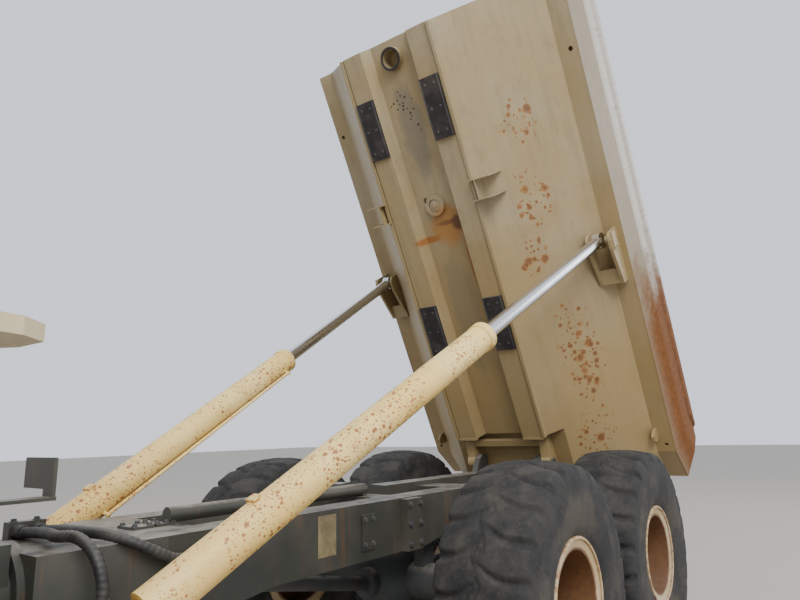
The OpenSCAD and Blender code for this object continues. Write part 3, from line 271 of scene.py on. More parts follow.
@dataclass(frozen=True)
class WornPaint:
    """Old paint with faded patches, dust on top faces, rust specks and chips.

    Fields:
        name: the material's name.
        base: the paint's colour.
        faded: its colour where it has faded.
        rust: how much of the surface has rust specks, from 0 to 1.
        dust: how much dust lies on top faces, from 0 to 1.
        speck: rust specks per metre.
        roughness: the paint's roughness.
    """

    name: str
    base: Rgb
    faded: Rgb
    rust: float = 0.3
    dust: float = 0.5
    speck: float = 26.0
    roughness: float = 0.5

    def area(self, graph: Graph) -> Socket | None:
        """Where rust gathers, or None for everywhere alike."""
        return None

    def extra(self, graph: Graph, colour: Socket) -> Socket:
        """Further stains on the colour; none here."""
        return colour

    def matt(self, graph: Graph) -> Socket | None:
        """Where the surface is rusted dull, or None for nowhere."""
        return None

    def build(self) -> Material:
        """Builds the material.

        Returns:
            The material.
        """
        graph = Graph(self.name)
        fade = graph.step(graph.noise(1.3, 5), 0.38, 0.66)
        colour = graph.mix(fade, self.base, self.faded)
        grime = graph.mul(graph.step(graph.noise(5.5, 7, 0.65), 0.5, 0.8), 0.35)
        colour = graph.mix(grime, colour, tuple(c * 0.45 for c in self.base))
        run = graph.noise(1.0, 5, 0.6, graph.place(scale=(0.06, 0.06, 0.9)))
        colour = graph.mix(graph.mul(graph.step(run, 0.56, 0.78), 0.3), colour, RUST_WARM)
        patch = graph.noise(1.7, 3)
        area = self.area(graph)
        if area is not None:
            patch = graph.add(graph.mul(patch, 0.55), graph.mul(area, 0.4))
        clump = graph.step(patch, 0.72 - 0.35 * self.rust, 0.92 - 0.35 * self.rust)
        seeds = graph.sub(0.30, graph.cells(self.speck))
        speck = graph.step(graph.add(seeds, graph.mul(clump, 0.16)), 0.22, 0.30)
        speck = graph.mul(speck, clump, True)
        small = graph.sub(0.2, graph.cells(self.speck * 3.1))
        small = graph.step(graph.add(small, graph.mul(clump, 0.05)), 0.10, 0.16)
        chips = graph.math("MAXIMUM", speck, graph.mul(small, graph.step(patch, 0.5, 0.62)))
        rust = graph.mix(graph.noise(60, 3), RUST_DARK, RUST_WARM)
        halo = graph.mul(clump, 0.22)
        colour = graph.mix(halo, colour, RUST_WARM)
        colour = graph.mix(chips, colour, rust)
        colour = self.extra(graph, colour)
        dust = graph.mul(graph.facing_up(), graph.step(graph.noise(9, 5), 0.3, 0.62))
        colour = graph.mix(graph.mul(dust, self.dust), colour, DUST)
        rough = graph.add(self.roughness, graph.mul(chips, 0.35), True)
        matt = self.matt(graph)
        if matt is not None:
            rough = graph.add(rough, graph.mul(matt, 0.5), True)
            graph.set(Specular_IOR_Level=graph.sub(0.5, graph.mul(matt, 0.42)))
        grain = graph.bump(graph.noise(140, 3), 0.0004, 0.35)
        relief = graph.bump(graph.sub(1.0, chips), 0.0012, 0.5, grain)
        graph.set(Base_Color=colour, Roughness=rough, Normal=relief)
        return graph.material


@dataclass(frozen=True)
class Spots:
    """Round rust spots of several sizes with darker middles.

    Fields:
        sizes: spots per metre, and their largest reach in cells.
        least: how much rust must gather for spots to show.
        gain: how fast the spots grow with the rust.
        vary: how much their sizes differ.
        edge: distances inside a spot over which it fades in.
        core: distances inside it over which its middle darkens.
        halo: colour of its rim.
        heart: colour of its middle.
        strength: how strong it is, from 0 to 1.
    """

    sizes: tuple[tuple[float, float], ...]
    least: float
    gain: float
    vary: float
    edge: tuple[float, float]
    core: tuple[float, float]
    halo: Rgb
    heart: Rgb
    strength: float

    def paint(self, graph: Graph, colour: Socket, rust: Socket, wobble: object = 0.0) -> Socket:
        """Lays the spots on a colour.

        Args:
            graph: the material's graph.
            colour: the colour under them.
            rust: how much rust gathers.
            wobble: what makes their outlines uneven.

        Returns:
            The spotted colour.
        """
        for scale, reach in self.sizes:
            some = graph.mul(graph.sub(graph.noise(scale * 0.45, 2), 0.5), self.vary)
            size = graph.mul(graph.sub(rust, self.least), reach * self.gain)
            size = graph.math("MINIMUM", graph.add(size, some), reach)
            inside = graph.sub(size, graph.add(graph.cells(scale), wobble))
            tone = graph.mix(graph.step(inside, *self.core), self.halo, self.heart)
            colour = graph.mix(graph.mul(graph.step(inside, *self.edge), self.strength), colour, tone)
        return colour


BED_SPOTS = Spots(((6.0, 0.30), (11.0, 0.34), (24.0, 0.36)), 0.45, 1.6, 0.9, (0.0, 0.03), (0.05, 0.14),
                  (0.30, 0.135, 0.035), (0.15, 0.055, 0.016), 0.88)
TUBE_SPOTS = Spots(((20.0, 0.27), (38.0, 0.30), (75.0, 0.33)), 0.35, 1.5, 0.8, (-0.02, 0.04), (0.04, 0.13),
                   (0.50, 0.22, 0.045), (0.22, 0.075, 0.018), 0.9)


@dataclass(frozen=True)
class Blot:
    """Stain on the bed's underside.

    Fields:
        ahead: metres ahead of the hinge.
        left: metres left of the middle plane.
        up: metres above the hinge.
        size: reach along the bed, across it and through it.
        colour: the stain's colour.
        strength: how strong it is, from 0 to 1.
    """

    ahead: float
    left: float
    up: float
    size: Vec3
    colour: Rgb
    strength: float


STAINS: tuple[Blot, ...] = (
    Blot(1.55, 0.00, 0.02, (1.10, 0.26, 0.3), (0.19, 0.148, 0.08), 0.6),
    Blot(2.40, 0.06, 0.02, (0.34, 0.30, 0.3), (0.34, 0.15, 0.03), 0.85),
    Blot(2.40, 0.17, 0.02, (0.13, 0.13, 0.3), RUST_DARK, 0.8),
    Blot(2.42, 0.10, 0.02, (0.045, 0.30, 0.3), (0.13, 0.05, 0.016), 0.7),
    Blot(2.36, 0.21, 0.02, (0.42, 0.045, 0.3), (0.13, 0.05, 0.016), 0.8),
    Blot(2.30, -0.17, 0.02, (0.06, 0.22, 0.4), (0.30, 0.11, 0.02), 0.9),
    Blot(2.05, 0.20, 0.00, (0.50, 0.05, 0.3), (0.28, 0.11, 0.025), 0.85),
    Blot(2.62, 0.21, 0.02, (0.36, 0.04, 0.3), (0.30, 0.13, 0.03), 0.6),
    Blot(2.66, -0.09, 0.02, (0.05, 0.04, 0.3), RUST_DARK, 0.9),
    Blot(3.3, 0.0, 0.02, (0.75, 0.22, 0.3), (0.16, 0.14, 0.105), 0.65),
    Blot(0.4, 0.55, 0.05, (0.6, 0.5, 0.3), (0.26, 0.17, 0.08), 0.15),
)

STREAK_BROWN: Rgb = (0.17, 0.135, 0.085)
TAIL_TAN: Rgb = (0.325, 0.215, 0.078)
# Two browns of the painted shade on the side walls' steep lower faces
WALL_PAINTED_SHADE: tuple[Rgb, Rgb] = ((0.14, 0.102, 0.062), (0.29, 0.24, 0.17))
# Pale colour of the painted sky reflection on the side walls' outer faces
WALL_PAINTED_REFLECTION: Rgb = (0.56, 0.54, 0.50)
WALL_SCUFF: Rgb = (0.24, 0.21, 0.19)
# Metres from the middle plane at which the side wall's lower face and its outer face begin and end
LOWER_WALL: tuple[float, float, float, float] = (1.355, 1.368, 1.408, 1.416)
OUTER_WALL: tuple[float, float] = (1.409, 1.416)
# Where round rust spots gather on the outer panels: ahead of, left of and above the hinge, then reach along
# and across the bed
CLUSTERS: tuple[tuple[float, float, float, float, float], ...] = (
    (3.10, 0.84, 0.36, 0.36, 0.24),
    (2.42, 0.80, 0.30, 0.55, 0.22),
    (1.95, 0.70, 0.22, 0.35, 0.20),
    (0.85, 0.84, 0.35, 1.05, 0.34),
    (0.10, 0.80, 0.32, 0.45, 0.36),
)


@dataclass(frozen=True)
class BedPaint(WornPaint):
    """The bed's cream paint: rust gathers low on the outer panels and round the middle port."""

    def area(self, graph: Graph) -> Socket:
        """Rust on the outer panels, most behind the cylinders' brackets.

        Args:
            graph: the material's graph.

        Returns:
            The mask.
        """
        found = None
        for ahead, left, up, along, across in CLUSTERS:
            at = graph.place(tuple(on_bed(ahead, left, up)), BED_LEAN, (along, across, 0.6))
            patch = graph.blot(at, 0.7)
            found = patch if found is None else graph.math("MAXIMUM", found, patch)
        return found

    def along(self, graph: Graph) -> tuple[Socket, Socket]:
        """Metres ahead of the bed's hinge, and metres out from the middle plane."""
        ahead, left, _ = graph.split(graph.place(tuple(HINGE), BED_LEAN))
        return ahead, graph.math("ABSOLUTE", left)

    def extra(self, graph: Graph, colour: Socket) -> Socket:
        """Spots, stains that run from the plug, rust along the sides and the tail, painted shade on the
        side walls' lower faces and a painted sky reflection on their outer faces.

        Args:
            graph: the material's graph.
            colour: the paint's colour.

        Returns:
            The stained colour.
        """
        ahead, out = self.along(graph)
        streak = graph.noise(1.0, 5, 0.65, graph.place(tuple(HINGE), BED_LEAN, (0.9, 0.07, 0.07)))
        colour = graph.mix(graph.mul(graph.step(streak, 0.46, 0.74), 0.4), colour, STREAK_BROWN)
        behind = graph.mul(graph.step(ahead, 3.4, 0.6), 0.6)
        colour = graph.mix(behind, colour, TAIL_TAN)
        wobble = graph.mul(graph.sub(graph.noise(45, 4, 0.7), 0.5), 0.22)
        colour = BED_SPOTS.paint(graph, colour, self.area(graph), wobble)
        for stain in STAINS:
            at = graph.place(tuple(on_bed(stain.ahead, stain.left, stain.up)), BED_LEAN, stain.size)
            edge = graph.add(graph.blot(at, 0.9), graph.mul(graph.noise(7, 6, 0.7), 0.9))
            amount = graph.mul(graph.step(edge, 0.72, 1.25), stain.strength, True)
            colour = graph.mix(amount, colour, stain.colour)
        # Side walls: painted shade in mottled brown on the steep lower faces; a painted pale reflection of
        # the sky and scratches on the outer faces
        near, inner, top, far = LOWER_WALL
        lower = graph.mul(graph.step(out, near, inner), graph.step(out, far, top))
        # Painted shade: mottled brown on the steep lower faces
        dirt = graph.mix(graph.noise(9, 6, 0.7), *WALL_PAINTED_SHADE)
        colour = graph.mix(graph.mul(lower, 0.7), colour, dirt)
        outer = graph.step(out, *OUTER_WALL)
        # Painted reflection: the outer faces turned pale, as the sky reflects at a grazing angle
        colour = graph.mix(graph.mul(outer, 0.7), colour, WALL_PAINTED_REFLECTION)
        scuff = graph.noise(1.0, 6, 0.7, graph.place(tuple(HINGE), BED_LEAN, (0.018, 0.25, 0.25)))
        band = graph.mul(graph.step(scuff, 0.5, 0.66), outer)
        colour = graph.mix(graph.mul(band, 0.55), colour, WALL_SCUFF)
        rust = graph.mix(graph.noise(22, 4), RUST_DARK, RUST_WARM)
        return graph.mix(graph.mul(self.matt(graph), 0.92), colour, rust)

    def matt(self, graph: Graph) -> Socket:
        """Rust on the side walls, from the tail forward.

        Args:
            graph: the material's graph.

        Returns:
            The mask.
        """
        ahead, out = self.along(graph)
        tail = graph.add(graph.step(ahead, 2.9, -0.6), graph.mul(graph.noise(4.5, 6, 0.7), 0.7))
        return graph.mul(graph.step(tail, 0.62, 0.95), graph.step(out, 1.33, 1.40), True)


@dataclass(frozen=True)
class TubePaint(WornPaint):
    """Hoist tube's cream paint with many small rust specks, densest low on its upper side."""

    def extra(self, graph: Graph, colour: Socket) -> Socket:
        """Small round specks with orange halos.

        Args:
            graph: the material's graph.
            colour: the paint's colour.

        Returns:
            The stained colour.
        """
        _, _, up = graph.split(graph.coords)
        low = graph.step(up, 4.4, 1.2)
        # Browner and darker towards the bottom of the tubes
        tan = graph.mul(graph.step(up, 2.6, 1.0), 0.45)
        colour = graph.mix(tan, colour, (0.60, 0.37, 0.095))
        gather = graph.add(graph.mul(graph.noise(2.4, 4, 0.6), 1.5), graph.mul(low, 0.35))
        gather = graph.step(gather, 0.62, 1.15)
        return TUBE_SPOTS.paint(graph, colour, gather)


@dataclass(frozen=True)
class RimPaint(WornPaint):
    """A rim's cream paint, rusty inside and bright along the flange's edge.

    Fields:
        axle: the wheel's axle along X.
        height: the axle's height.
    """

    axle: float = 0.0
    height: float = 0.808

    def extra(self, graph: Graph, colour: Socket) -> Socket:
        """Orange-brown rust inside the rim, worn through at the flange.

        Args:
            graph: the material's graph.
            colour: the paint's colour.

        Returns:
            The stained colour.
        """
        radius = graph.from_axle(self.axle, self.height)
        inside = graph.add(graph.step(radius, 0.325, 0.27), graph.mul(graph.noise(14, 6, 0.7), 0.8))
        rust = graph.mix(graph.noise(30, 5), (0.055, 0.018, 0.006), (0.17, 0.065, 0.018))
        colour = graph.mix(graph.mul(graph.step(inside, 0.5, 0.9), 0.93), colour, rust)
        lip = graph.mul(graph.step(radius, 0.335, 0.362), graph.step(graph.noise(26, 5), 0.45, 0.6))
        return graph.mix(graph.mul(lip, 0.7), colour, RUST_WARM)


@dataclass(frozen=True)
class Chrome:
    """Polished rod with fine oil marks along it."""

    name: str = "chrome_rod"

    def build(self) -> Material:
        """Builds the material.

        Returns:
            The material.
        """
        graph = Graph(self.name)
        smear = graph.step(graph.noise(5, 5), 0.45, 0.75)
        colour = graph.mix(graph.mul(smear, 0.35), (0.72, 0.73, 0.75), (0.45, 0.45, 0.44))
        rough = graph.add(0.2, graph.mul(smear, 0.12))
        graph.set(Base_Color=colour, Metallic=1.0, Roughness=rough)
        return graph.material


@dataclass(frozen=True)
class TyreRubber:
    """Worn tyre: grey rubber, dust on the tread and in its cracks.

    Fields:
        name: the material's name.
        base: the rubber's colour.
        dusty: its colour under dry dirt.
        axle: the wheel's axle along X.
        height: the axle's height.
    """

    name: str
    axle: float
    height: float
    base: Rgb = (0.012, 0.012, 0.0125)
    dusty: Rgb = (0.056, 0.050, 0.040)

    def build(self) -> Material:
        """Builds the material.

        Returns:
            The material.
        """
        graph = Graph(self.name)
        radius = graph.from_axle(self.axle, self.height)
        worn = graph.step(radius, 0.765, 0.795)
        patch = graph.step(graph.noise(6, 6, 0.65), 0.35, 0.68)
        fine = graph.noise(45, 5, 0.7)
        amount = graph.mul(graph.add(graph.mul(worn, 0.3), 0.42), patch)
        colour = graph.mix(amount, self.base, self.dusty)
        colour = graph.mix(graph.mul(graph.step(fine, 0.5, 0.7), 0.35), colour, self.dusty)
        wall = graph.mul(graph.step(radius, 0.66, 0.6), graph.step(graph.noise(3.5, 4), 0.42, 0.62))
        colour = graph.mix(graph.mul(wall, 0.4), colour, (0.10, 0.079, 0.054))
        crack = graph.bump(graph.noise(75, 6, 0.75), 0.004, 0.5)
        pits = graph.bump(graph.step(graph.cells(38), 0.1, 0.4), 0.003, 0.35, crack)
        graph.set(Base_Color=colour, Roughness=0.86, Normal=pits)
        return graph.material


@dataclass(frozen=True)
class Plain:
    """Simple moulded, cast or woven finish with a fine relief.

    Fields:
        name: the material's name.
        base: its colour.
        other: the colour it varies to.
        roughness: its roughness.
        metallic: 1 for bare metal.
        grain: cells per metre of the relief.
        relief: height of the relief in metres.
    """

    name: str
    base: Rgb
    other: Rgb
    roughness: float = 0.6
    metallic: float = 0.0
    grain: float = 300.0
    relief: float = 0.0006

    def build(self) -> Material:
        """Builds the material.

        Returns:
            The material.
        """
        graph = Graph(self.name)
        colour = graph.mix(graph.step(graph.noise(7, 6, 0.65), 0.38, 0.68), self.base, self.other)
        dust = graph.mul(graph.facing_up(), 0.22)
        colour = graph.mix(dust, colour, DUST)
        normal = graph.bump(graph.noise(self.grain, 3), self.relief, 0.6)
        graph.set(Base_Color=colour, Roughness=self.roughness, Metallic=self.metallic, Normal=normal)
        return graph.material


@dataclass(frozen=True)
class Glass:
    """Clear window or lamp glass with a film of dust.

    Fields:
        name: the material's name.
        tint: the glass's colour.
        rib: ribs per metre, or 0 for plain glass.
    """

    name: str
    tint: Rgb = (0.80, 0.88, 0.87)
    rib: float = 0.0

    def build(self) -> Material:
        """Builds the material.

        Returns:
            The material.
        """
        graph = Graph(self.name)
        dust = graph.step(graph.noise(3.2, 6, 0.65), 0.42, 0.72)
        colour = graph.mix(graph.mul(dust, 0.3), self.tint, (0.45, 0.43, 0.38))
        rough = graph.add(0.03, graph.mul(dust, 0.25))
        graph.set(Base_Color=colour, Roughness=rough, IOR=1.45, Transmission_Weight=0.92)
        if self.rib:
            wave = graph.node("ShaderNodeTexWave", {"Vector": graph.coords, "Scale": self.rib}, "Fac",
                              bands_direction="Y")
            graph.set(Normal=graph.bump(wave, 0.002, 0.8))
        return graph.material


class Slot(Enum):
    """The record's material slots."""

    CREAM = "cream_paint"
    FRAME = "frame_paint"
    AXLE = "axle_paint"
    BLACK = "black_paint"
    ROD = "chrome_rod"
    EXHAUST = "exhaust_steel"
    IRON = "cast_iron"
    TYRE = "tyre"
    RUBBER = "rubber"
    PLASTIC = "black_plastic"
    SEAT = "seat_cloth"
    GLASS = "glass"
    LAMP = "lamp_glass"
    LENS = "red_lens"
    HOSE = "hose"


CREAM: Rgb = (0.70, 0.575, 0.33)
CREAM_FADED: Rgb = (0.76, 0.66, 0.44)
# The bed's paint is a darker copy of the cream paint: painted shade over the whole bed, with its faded
# patches darkened alike
BED_SHADED_TAN: Rgb = (0.315, 0.235, 0.115)
BED_SHADED_FADED: Rgb = (0.345, 0.28, 0.17)
# The hoist tubes' paint is a brighter, yellower copy of the cream paint; its extra brightness is painted
# light
TUBE_LIT_CREAM: Rgb = (0.84, 0.58, 0.17)
TUBE_LIT_FADED: Rgb = (0.88, 0.68, 0.28)
RIM_TAN: Rgb = (0.46, 0.33, 0.17)
RIM_FADED: Rgb = (0.52, 0.42, 0.26)
FRAME_GREY: Rgb = (0.037, 0.038, 0.030)
FRAME_FADED: Rgb = (0.085, 0.078, 0.06)

FINISHES: dict[Slot, object] = {
    Slot.CREAM: WornPaint("cream_paint", CREAM, CREAM_FADED, 0.25, 0.35),
    Slot.FRAME: WornPaint("frame_paint", FRAME_GREY, FRAME_FADED, 0.12, 0.75),
    Slot.AXLE: WornPaint("axle_paint", (0.035, 0.04, 0.042), (0.075, 0.075, 0.07), 0.3, 0.8, roughness=0.7),
    Slot.BLACK: WornPaint("black_paint", (0.016, 0.016, 0.017), (0.03, 0.03, 0.031), 0.12, 0.5,
                          roughness=0.42),
    Slot.ROD: Chrome(),
    Slot.EXHAUST: Plain("exhaust_steel", (0.16, 0.10, 0.07), (0.08, 0.05, 0.04), 0.65, 0.6, 120, 0.0008),
    Slot.IRON: Plain("cast_iron", (0.07, 0.072, 0.073), (0.11, 0.105, 0.095), 0.75, 0.4, 120, 0.0015),
    Slot.RUBBER: Plain("rubber", (0.016, 0.012, 0.012), (0.045, 0.036, 0.03), 0.85, 0.0, 90, 0.002),
    Slot.PLASTIC: Plain("black_plastic", (0.02, 0.02, 0.021), (0.028, 0.028, 0.028), 0.55),
    Slot.SEAT: Plain("seat_cloth", (0.03, 0.032, 0.036), (0.045, 0.046, 0.05), 0.9, 0.0, 700, 0.0012),
    Slot.GLASS: Glass("glass"),
    Slot.LAMP: Glass("lamp_glass", (0.93, 0.94, 0.93), 40.0),
    Slot.LENS: Plain("red_lens", (0.22, 0.008, 0.006), (0.3, 0.02, 0.015), 0.25),
    Slot.HOSE: Plain("hose", (0.012, 0.012, 0.012), (0.05, 0.046, 0.04), 0.6, 0.0, 160, 0.0008),
}


class Wardrobe:
    """All finishes, built once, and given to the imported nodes."""

    def __init__(self) -> None:
        """Builds the shared finishes."""
        self.by_slot: dict[Slot, Material] = {slot: finish.build() for slot, finish in FINISHES.items()}
        self.patch = Plain("faded_patch", (0.30, 0.24, 0.12), (0.17, 0.13, 0.065), 0.7).build()
        # The bed's paint: the cream paint darkened as painted shade
        self.bed = BedPaint("bed_paint", BED_SHADED_TAN, BED_SHADED_FADED, 0.30, 0.2).build()
        # The hoist tubes' paint: the cream paint brightened as painted light
        self.tube = TubePaint("hoist_paint", TUBE_LIT_CREAM, TUBE_LIT_FADED, 0.30, 0.1, 34.0).build()

    def dress(self) -> None:
        """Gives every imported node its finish."""
        for part in frame["record"]["subparts"]:
            node, slot = part["node"], Slot(part["material_slot"])
            piece = frame["nodes"][node]
            if slot is Slot.TYRE:
                at = middle(node)
                material = TyreRubber("rubber_" + node, at.x, at.z).build()
            elif node.startswith("rim_"):
                at = middle(node)
                material = RimPaint("paint_" + node, RIM_TAN, RIM_FADED, 0.7, 0.2, axle=at.x,
                                    height=at.z).build()
            elif node.startswith(("bed_shell", "bed_chute", "ram_", "bed_hinge", "bed_fit")):
                material = self.bed
            elif node.startswith("hoist_barrel"):
                material = self.tube
            else:
                material = self.by_slot[slot]
            piece.data.materials.clear()
            piece.data.materials.append(material)


def stand(name: str, mesh: bpy.types.Mesh, material: Material, body: str) -> Piece:
    """Puts a mesh in the scene as a piece that rides on a body.

    Args:
        name: the piece's name.
        mesh: its mesh, in the truck's frame.
        material: its finish.
        body: the body it rides on.

    Returns:
        The piece.
    """
    mesh.materials.append(material)
    piece = bpy.data.objects.new(name, mesh)
    bpy.context.scene.collection.objects.link(piece)
    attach(piece, body)
    return piece


class Mesher:
    """One bmesh that becomes one piece."""

    def __init__(self, name: str) -> None:
        """Starts an empty piece."""
        self.name = name
        self.bm = bmesh.new()

    def box(self, low: Vec3, high: Vec3, turn: Matrix = Matrix(), bevel: float = 0.0) -> None:
        """Box between two corners, with its edges eased.

        Args:
            low: lowest corner.
            high: highest corner.
            turn: placed with this matrix.
            bevel: width of the eased edges.
        """
        made = bmesh.ops.create_cube(self.bm, size=1.0)["verts"]
        size = [h - l for l, h in zip(low, high)]
        centre = [(h + l) / 2 for l, h in zip(low, high)]
        bmesh.ops.scale(self.bm, vec=size, verts=made)
        bmesh.ops.translate(self.bm, vec=centre, verts=made)
        bmesh.ops.transform(self.bm, matrix=turn, verts=made)
        if bevel:
            edges = {e for v in made for e in v.link_edges}
            bmesh.ops.bevel(self.bm, geom=list(edges), offset=bevel, segments=2, profile=0.5,
                            affect="EDGES", material=-1)

    def disc(self, matrix: Matrix, radius: float, height: float, sides: int = 24,
             top: float | None = None) -> None:
        """Short cylinder or cone along the matrix's Z, standing on its origin.

        Args:
            matrix: place and turn.
            radius: radius at its foot.
            height: its height.
            sides: number of sides.
            top: radius at its top, or None for the same.
        """
        made = bmesh.ops.create_cone(self.bm, cap_ends=True, segments=sides, radius1=radius,
                                     radius2=radius if top is None else top, depth=height)["verts"]
        bmesh.ops.translate(self.bm, vec=(0, 0, height / 2), verts=made)
        bmesh.ops.transform(self.bm, matrix=matrix, verts=made)

    def ring(self, matrix: Matrix, outline: Sequence[tuple[float, float]], steps: int = 40) -> None:
        """Closed outline of (radius, height) points turned about the matrix's Z.

        Args:
            matrix: place and turn.
            outline: the points, in order.
            steps: steps of the turn.
        """
        before = set(self.bm.verts)
        verts = [self.bm.verts.new((radius, 0, height)) for radius, height in outline]
        edges = [self.bm.edges.new((a, b)) for a, b in zip(verts, verts[1:] + verts[:1])]
        bmesh.ops.spin(self.bm, geom=verts + edges, cent=(0, 0, 0), axis=(0, 0, 1), dvec=(0, 0, 0),
                       angle=math.tau, steps=steps, use_merge=True, use_duplicate=False)
        made = [vert for vert in self.bm.verts if vert not in before]
        bmesh.ops.recalc_face_normals(self.bm, faces=list({f for v in made for f in v.link_faces}))
        bmesh.ops.transform(self.bm, matrix=matrix, verts=made)

    def stack(self, at: Vector, out: Vector, discs: Sequence[tuple[float, ...]],
              along: Vector = Vector((1, 0, 0))) -> None:
        """Stands discs on one another.

        Args:
            at: foot of the first.
            out: where the stack points.
            discs: radius, height, number of sides and, of a cone, top radius of each.
            along: where the discs' first corner points.
        """
        for radius, height, sides, *top in discs:
            self.disc(facing(at, out, along), radius, height, sides, *top)
            at = at + out * height

    def finish(self, material: Material, body: str, slot: Slot, smooth: float = 35.0) -> Piece:
        """Makes the piece, and lets it ride on a body.

        Args:
            material: its finish.
            body: the body it rides on.
            slot: the record's slot of its finish; not used.
            smooth: edges under this angle, in degrees, are shaded smooth.

        Returns:
            The piece.
        """
        mesh = bpy.data.meshes.new(self.name)
        self.bm.normal_update()
        limit = math.radians(smooth)
        for face in self.bm.faces:
            face.smooth = True
        for edge in self.bm.edges:
            edge.smooth = len(edge.link_faces) == 2 and edge.calc_face_angle(0.0) < limit
        self.bm.to_mesh(mesh)
        self.bm.free()
        return stand(self.name, mesh, material, body)


def facing(at: Vector, normal: Vector, along: Vector = Vector((1, 0, 0))) -> Matrix:
    """Matrix that puts Z on a normal and X near a direction.

    Args:
        at: the origin.
        normal: where Z points.
        along: where X points, as near as it can.

    Returns:
        The matrix.
    """
    z = normal.normalized()
    y = z.cross(along).normalized()
    x = y.cross(z)
    turn = Matrix((x, y, z)).transposed().to_4x4()
    return Matrix.Translation(at) @ turn


WHEELS: tuple[tuple[str, str], ...] = tuple((end, side) for end in ("front", "mid", "rear")
                                            for side in ("left", "right"))


def smooth_step(value: float, low: float, high: float) -> float:
    """Smooth step from 0 at low to 1 at high."""
    part = min(1.0, max(0.0, (value - low) / (high - low)))
    return part * part * (3 - 2 * part)


def rays(count: int, start: float) -> list[Vector]:
    """Directions round a wheel's axle, evenly spread from a share of a step on."""
    turns = [(index + start) * math.tau / count for index in range(count)]
    return [Vector((math.cos(turn), 0, math.sin(turn))) for turn in turns]


@dataclass
class Group:
    """Sub-assembly of pieces that share a wardrobe.

    Fields:
        wardrobe: where its finishes come from.
    """

    wardrobe: Wardrobe

    def put(self, mesh: Mesher, body: str, slot: Slot, material: Material | None = None) -> Piece:
        """Finishes a piece with its slot's finish, or with another that is given."""
        return mesh.finish(material or self.wardrobe.by_slot[slot], body, slot)


@dataclass
class Tyre(Group):
    """Worn lug tyre, made once and copied to the six wheels.

    Fields:
        lugs: lugs around each shoulder.
        depth: depth of the grooves at the shoulder.
        steps: steps of the turn.
        radius: the tyre's radius.
        half: half its width.
        bead: radius of its bead.
    """

    lugs: int = 24
    depth: float = 0.030
    steps: int = 384
    radius: float = 0.808
    half: float = 0.295
    bead: float = 0.328

    def outline(self) -> list[tuple[float, float]]:
        """Half profile from the bead to the tread's middle.

        Returns:
            Its points, as radius and distance from the middle plane.
        """
        points = [(self.bead, 0.2498), (self.bead + 0.041, 0.2498), (self.bead + 0.06, 0.268)]
        points += [(0.43, 0.281), (0.49, 0.2895), (0.55, 0.294), (0.60, self.half), (0.64, 0.2935),
                   (0.68, 0.290)]
        steps = 9
        for index in range(1, steps + 1):
            turn = index / steps * math.pi / 2
            points.append((0.68 + 0.106 * math.sin(turn), 0.235 + 0.055 * math.cos(turn) ** 0.8))
        rows = 19
        for index in range(1, rows + 1):
            out = 0.235 * (1 - index / rows)
            points.append((self.radius - 0.022 * (out / 0.235) ** 2.2, out))
        return points

    def groove(self, angle: float, out: float, radius: float) -> float:
        """How deep the tread is cut at a place.

        Args:
            angle: angle round the wheel.
            out: distance from the tyre's middle plane, with its sign.
            radius: the profile's radius there.

        Returns:
            The depth in metres.
        """
        side = 1 if out > 0 else -1
        reach = abs(out) / self.half
        pitch = math.tau * self.radius / self.lugs
        sweep = 0.42 * reach + 0.16 * math.sin(math.pi * reach * 1.1)
        phase = self.lugs * angle / math.tau + side * 0.25 + sweep
        gap = abs(phase - round(phase)) * pitch
        half_width = 0.007 + 0.021 * reach ** 1.3
        slot = 1 - smooth_step(gap, half_width - 0.006, half_width + 0.009)
        depth = self.depth * (0.45 + 0.55 * min(1.0, reach * 1.2))
        zigzag = 0.035 * math.sin(self.lugs * angle + side * 0.6)
        centre = 1 - smooth_step(abs(out - zigzag), 0.004, 0.014)
        fade = smooth_step(radius, 0.70, 0.745)
        return fade * max(slot * depth, centre * 0.010)

    def mesh(self) -> bpy.types.Mesh:
        """Builds the tyre about its own centre, its axle along Y.

        Returns:
            The mesh.
        """
        half = self.outline()
        whole = [(r, -o) for r, o in half] + [(r, o) for r, o in reversed(half[:-1])]
        bm = bmesh.new()
        verts = [bm.verts.new((r, o, 0)) for r, o in whole]
        edges = [bm.edges.new((a, b)) for a, b in zip(verts, verts[1:] + verts[:1])]
        bmesh.ops.spin(bm, geom=verts + edges, cent=(0, 0, 0), axis=(0, 1, 0), dvec=(0, 0, 0),
                       angle=math.tau, steps=self.steps, use_merge=True, use_duplicate=False)
        for vert in bm.verts:
            angle = math.atan2(vert.co.z, vert.co.x)
            radius = math.hypot(vert.co.x, vert.co.z)
            if radius < 0.69:
                continue
            cut = self.groove(angle, vert.co.y, radius)
            wear = (0.0022 * math.sin(7 * angle + 30 * vert.co.y)
                    + 0.0016 * math.sin(23 * angle - 41 * vert.co.y))
            shrink = 1 - (cut + abs(wear)) / radius
            pull = 1 - cut * 0.55 * smooth_step(abs(vert.co.y), 0.2, 0.28)
            vert.co = Vector((vert.co.x * shrink, vert.co.y * pull, vert.co.z * shrink))
        bmesh.ops.recalc_face_normals(bm, faces=bm.faces)
        for face in bm.faces:
            face.smooth = True
        mesh = bpy.data.meshes.new("tyre_tread")
        bm.to_mesh(mesh)
        bm.free()
        return mesh

    def build(self) -> None:
        """Puts a copy of the tyre on each wheel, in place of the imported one."""
        source = self.mesh()
        for index, (end, side) in enumerate(WHEELS):
            node = "tyre_%s_%s" % (end, side)
            mesh = source.copy()
            turn = Matrix.Rotation(0.37 * (index // 2) + (0.2 if side == "left" else 0.9), 4, "Y")
            flip = Matrix() if side == "left" else Matrix.Rotation(math.pi, 4, "Z")
            mesh.transform(Matrix.Translation(middle(node)) @ flip @ turn)
            piece = stand("tread_%s_%s" % (end, side), mesh, frame["nodes"][node].data.materials[0],
                          "wheel_%s_%s" % (end, side))
            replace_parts(piece, node)


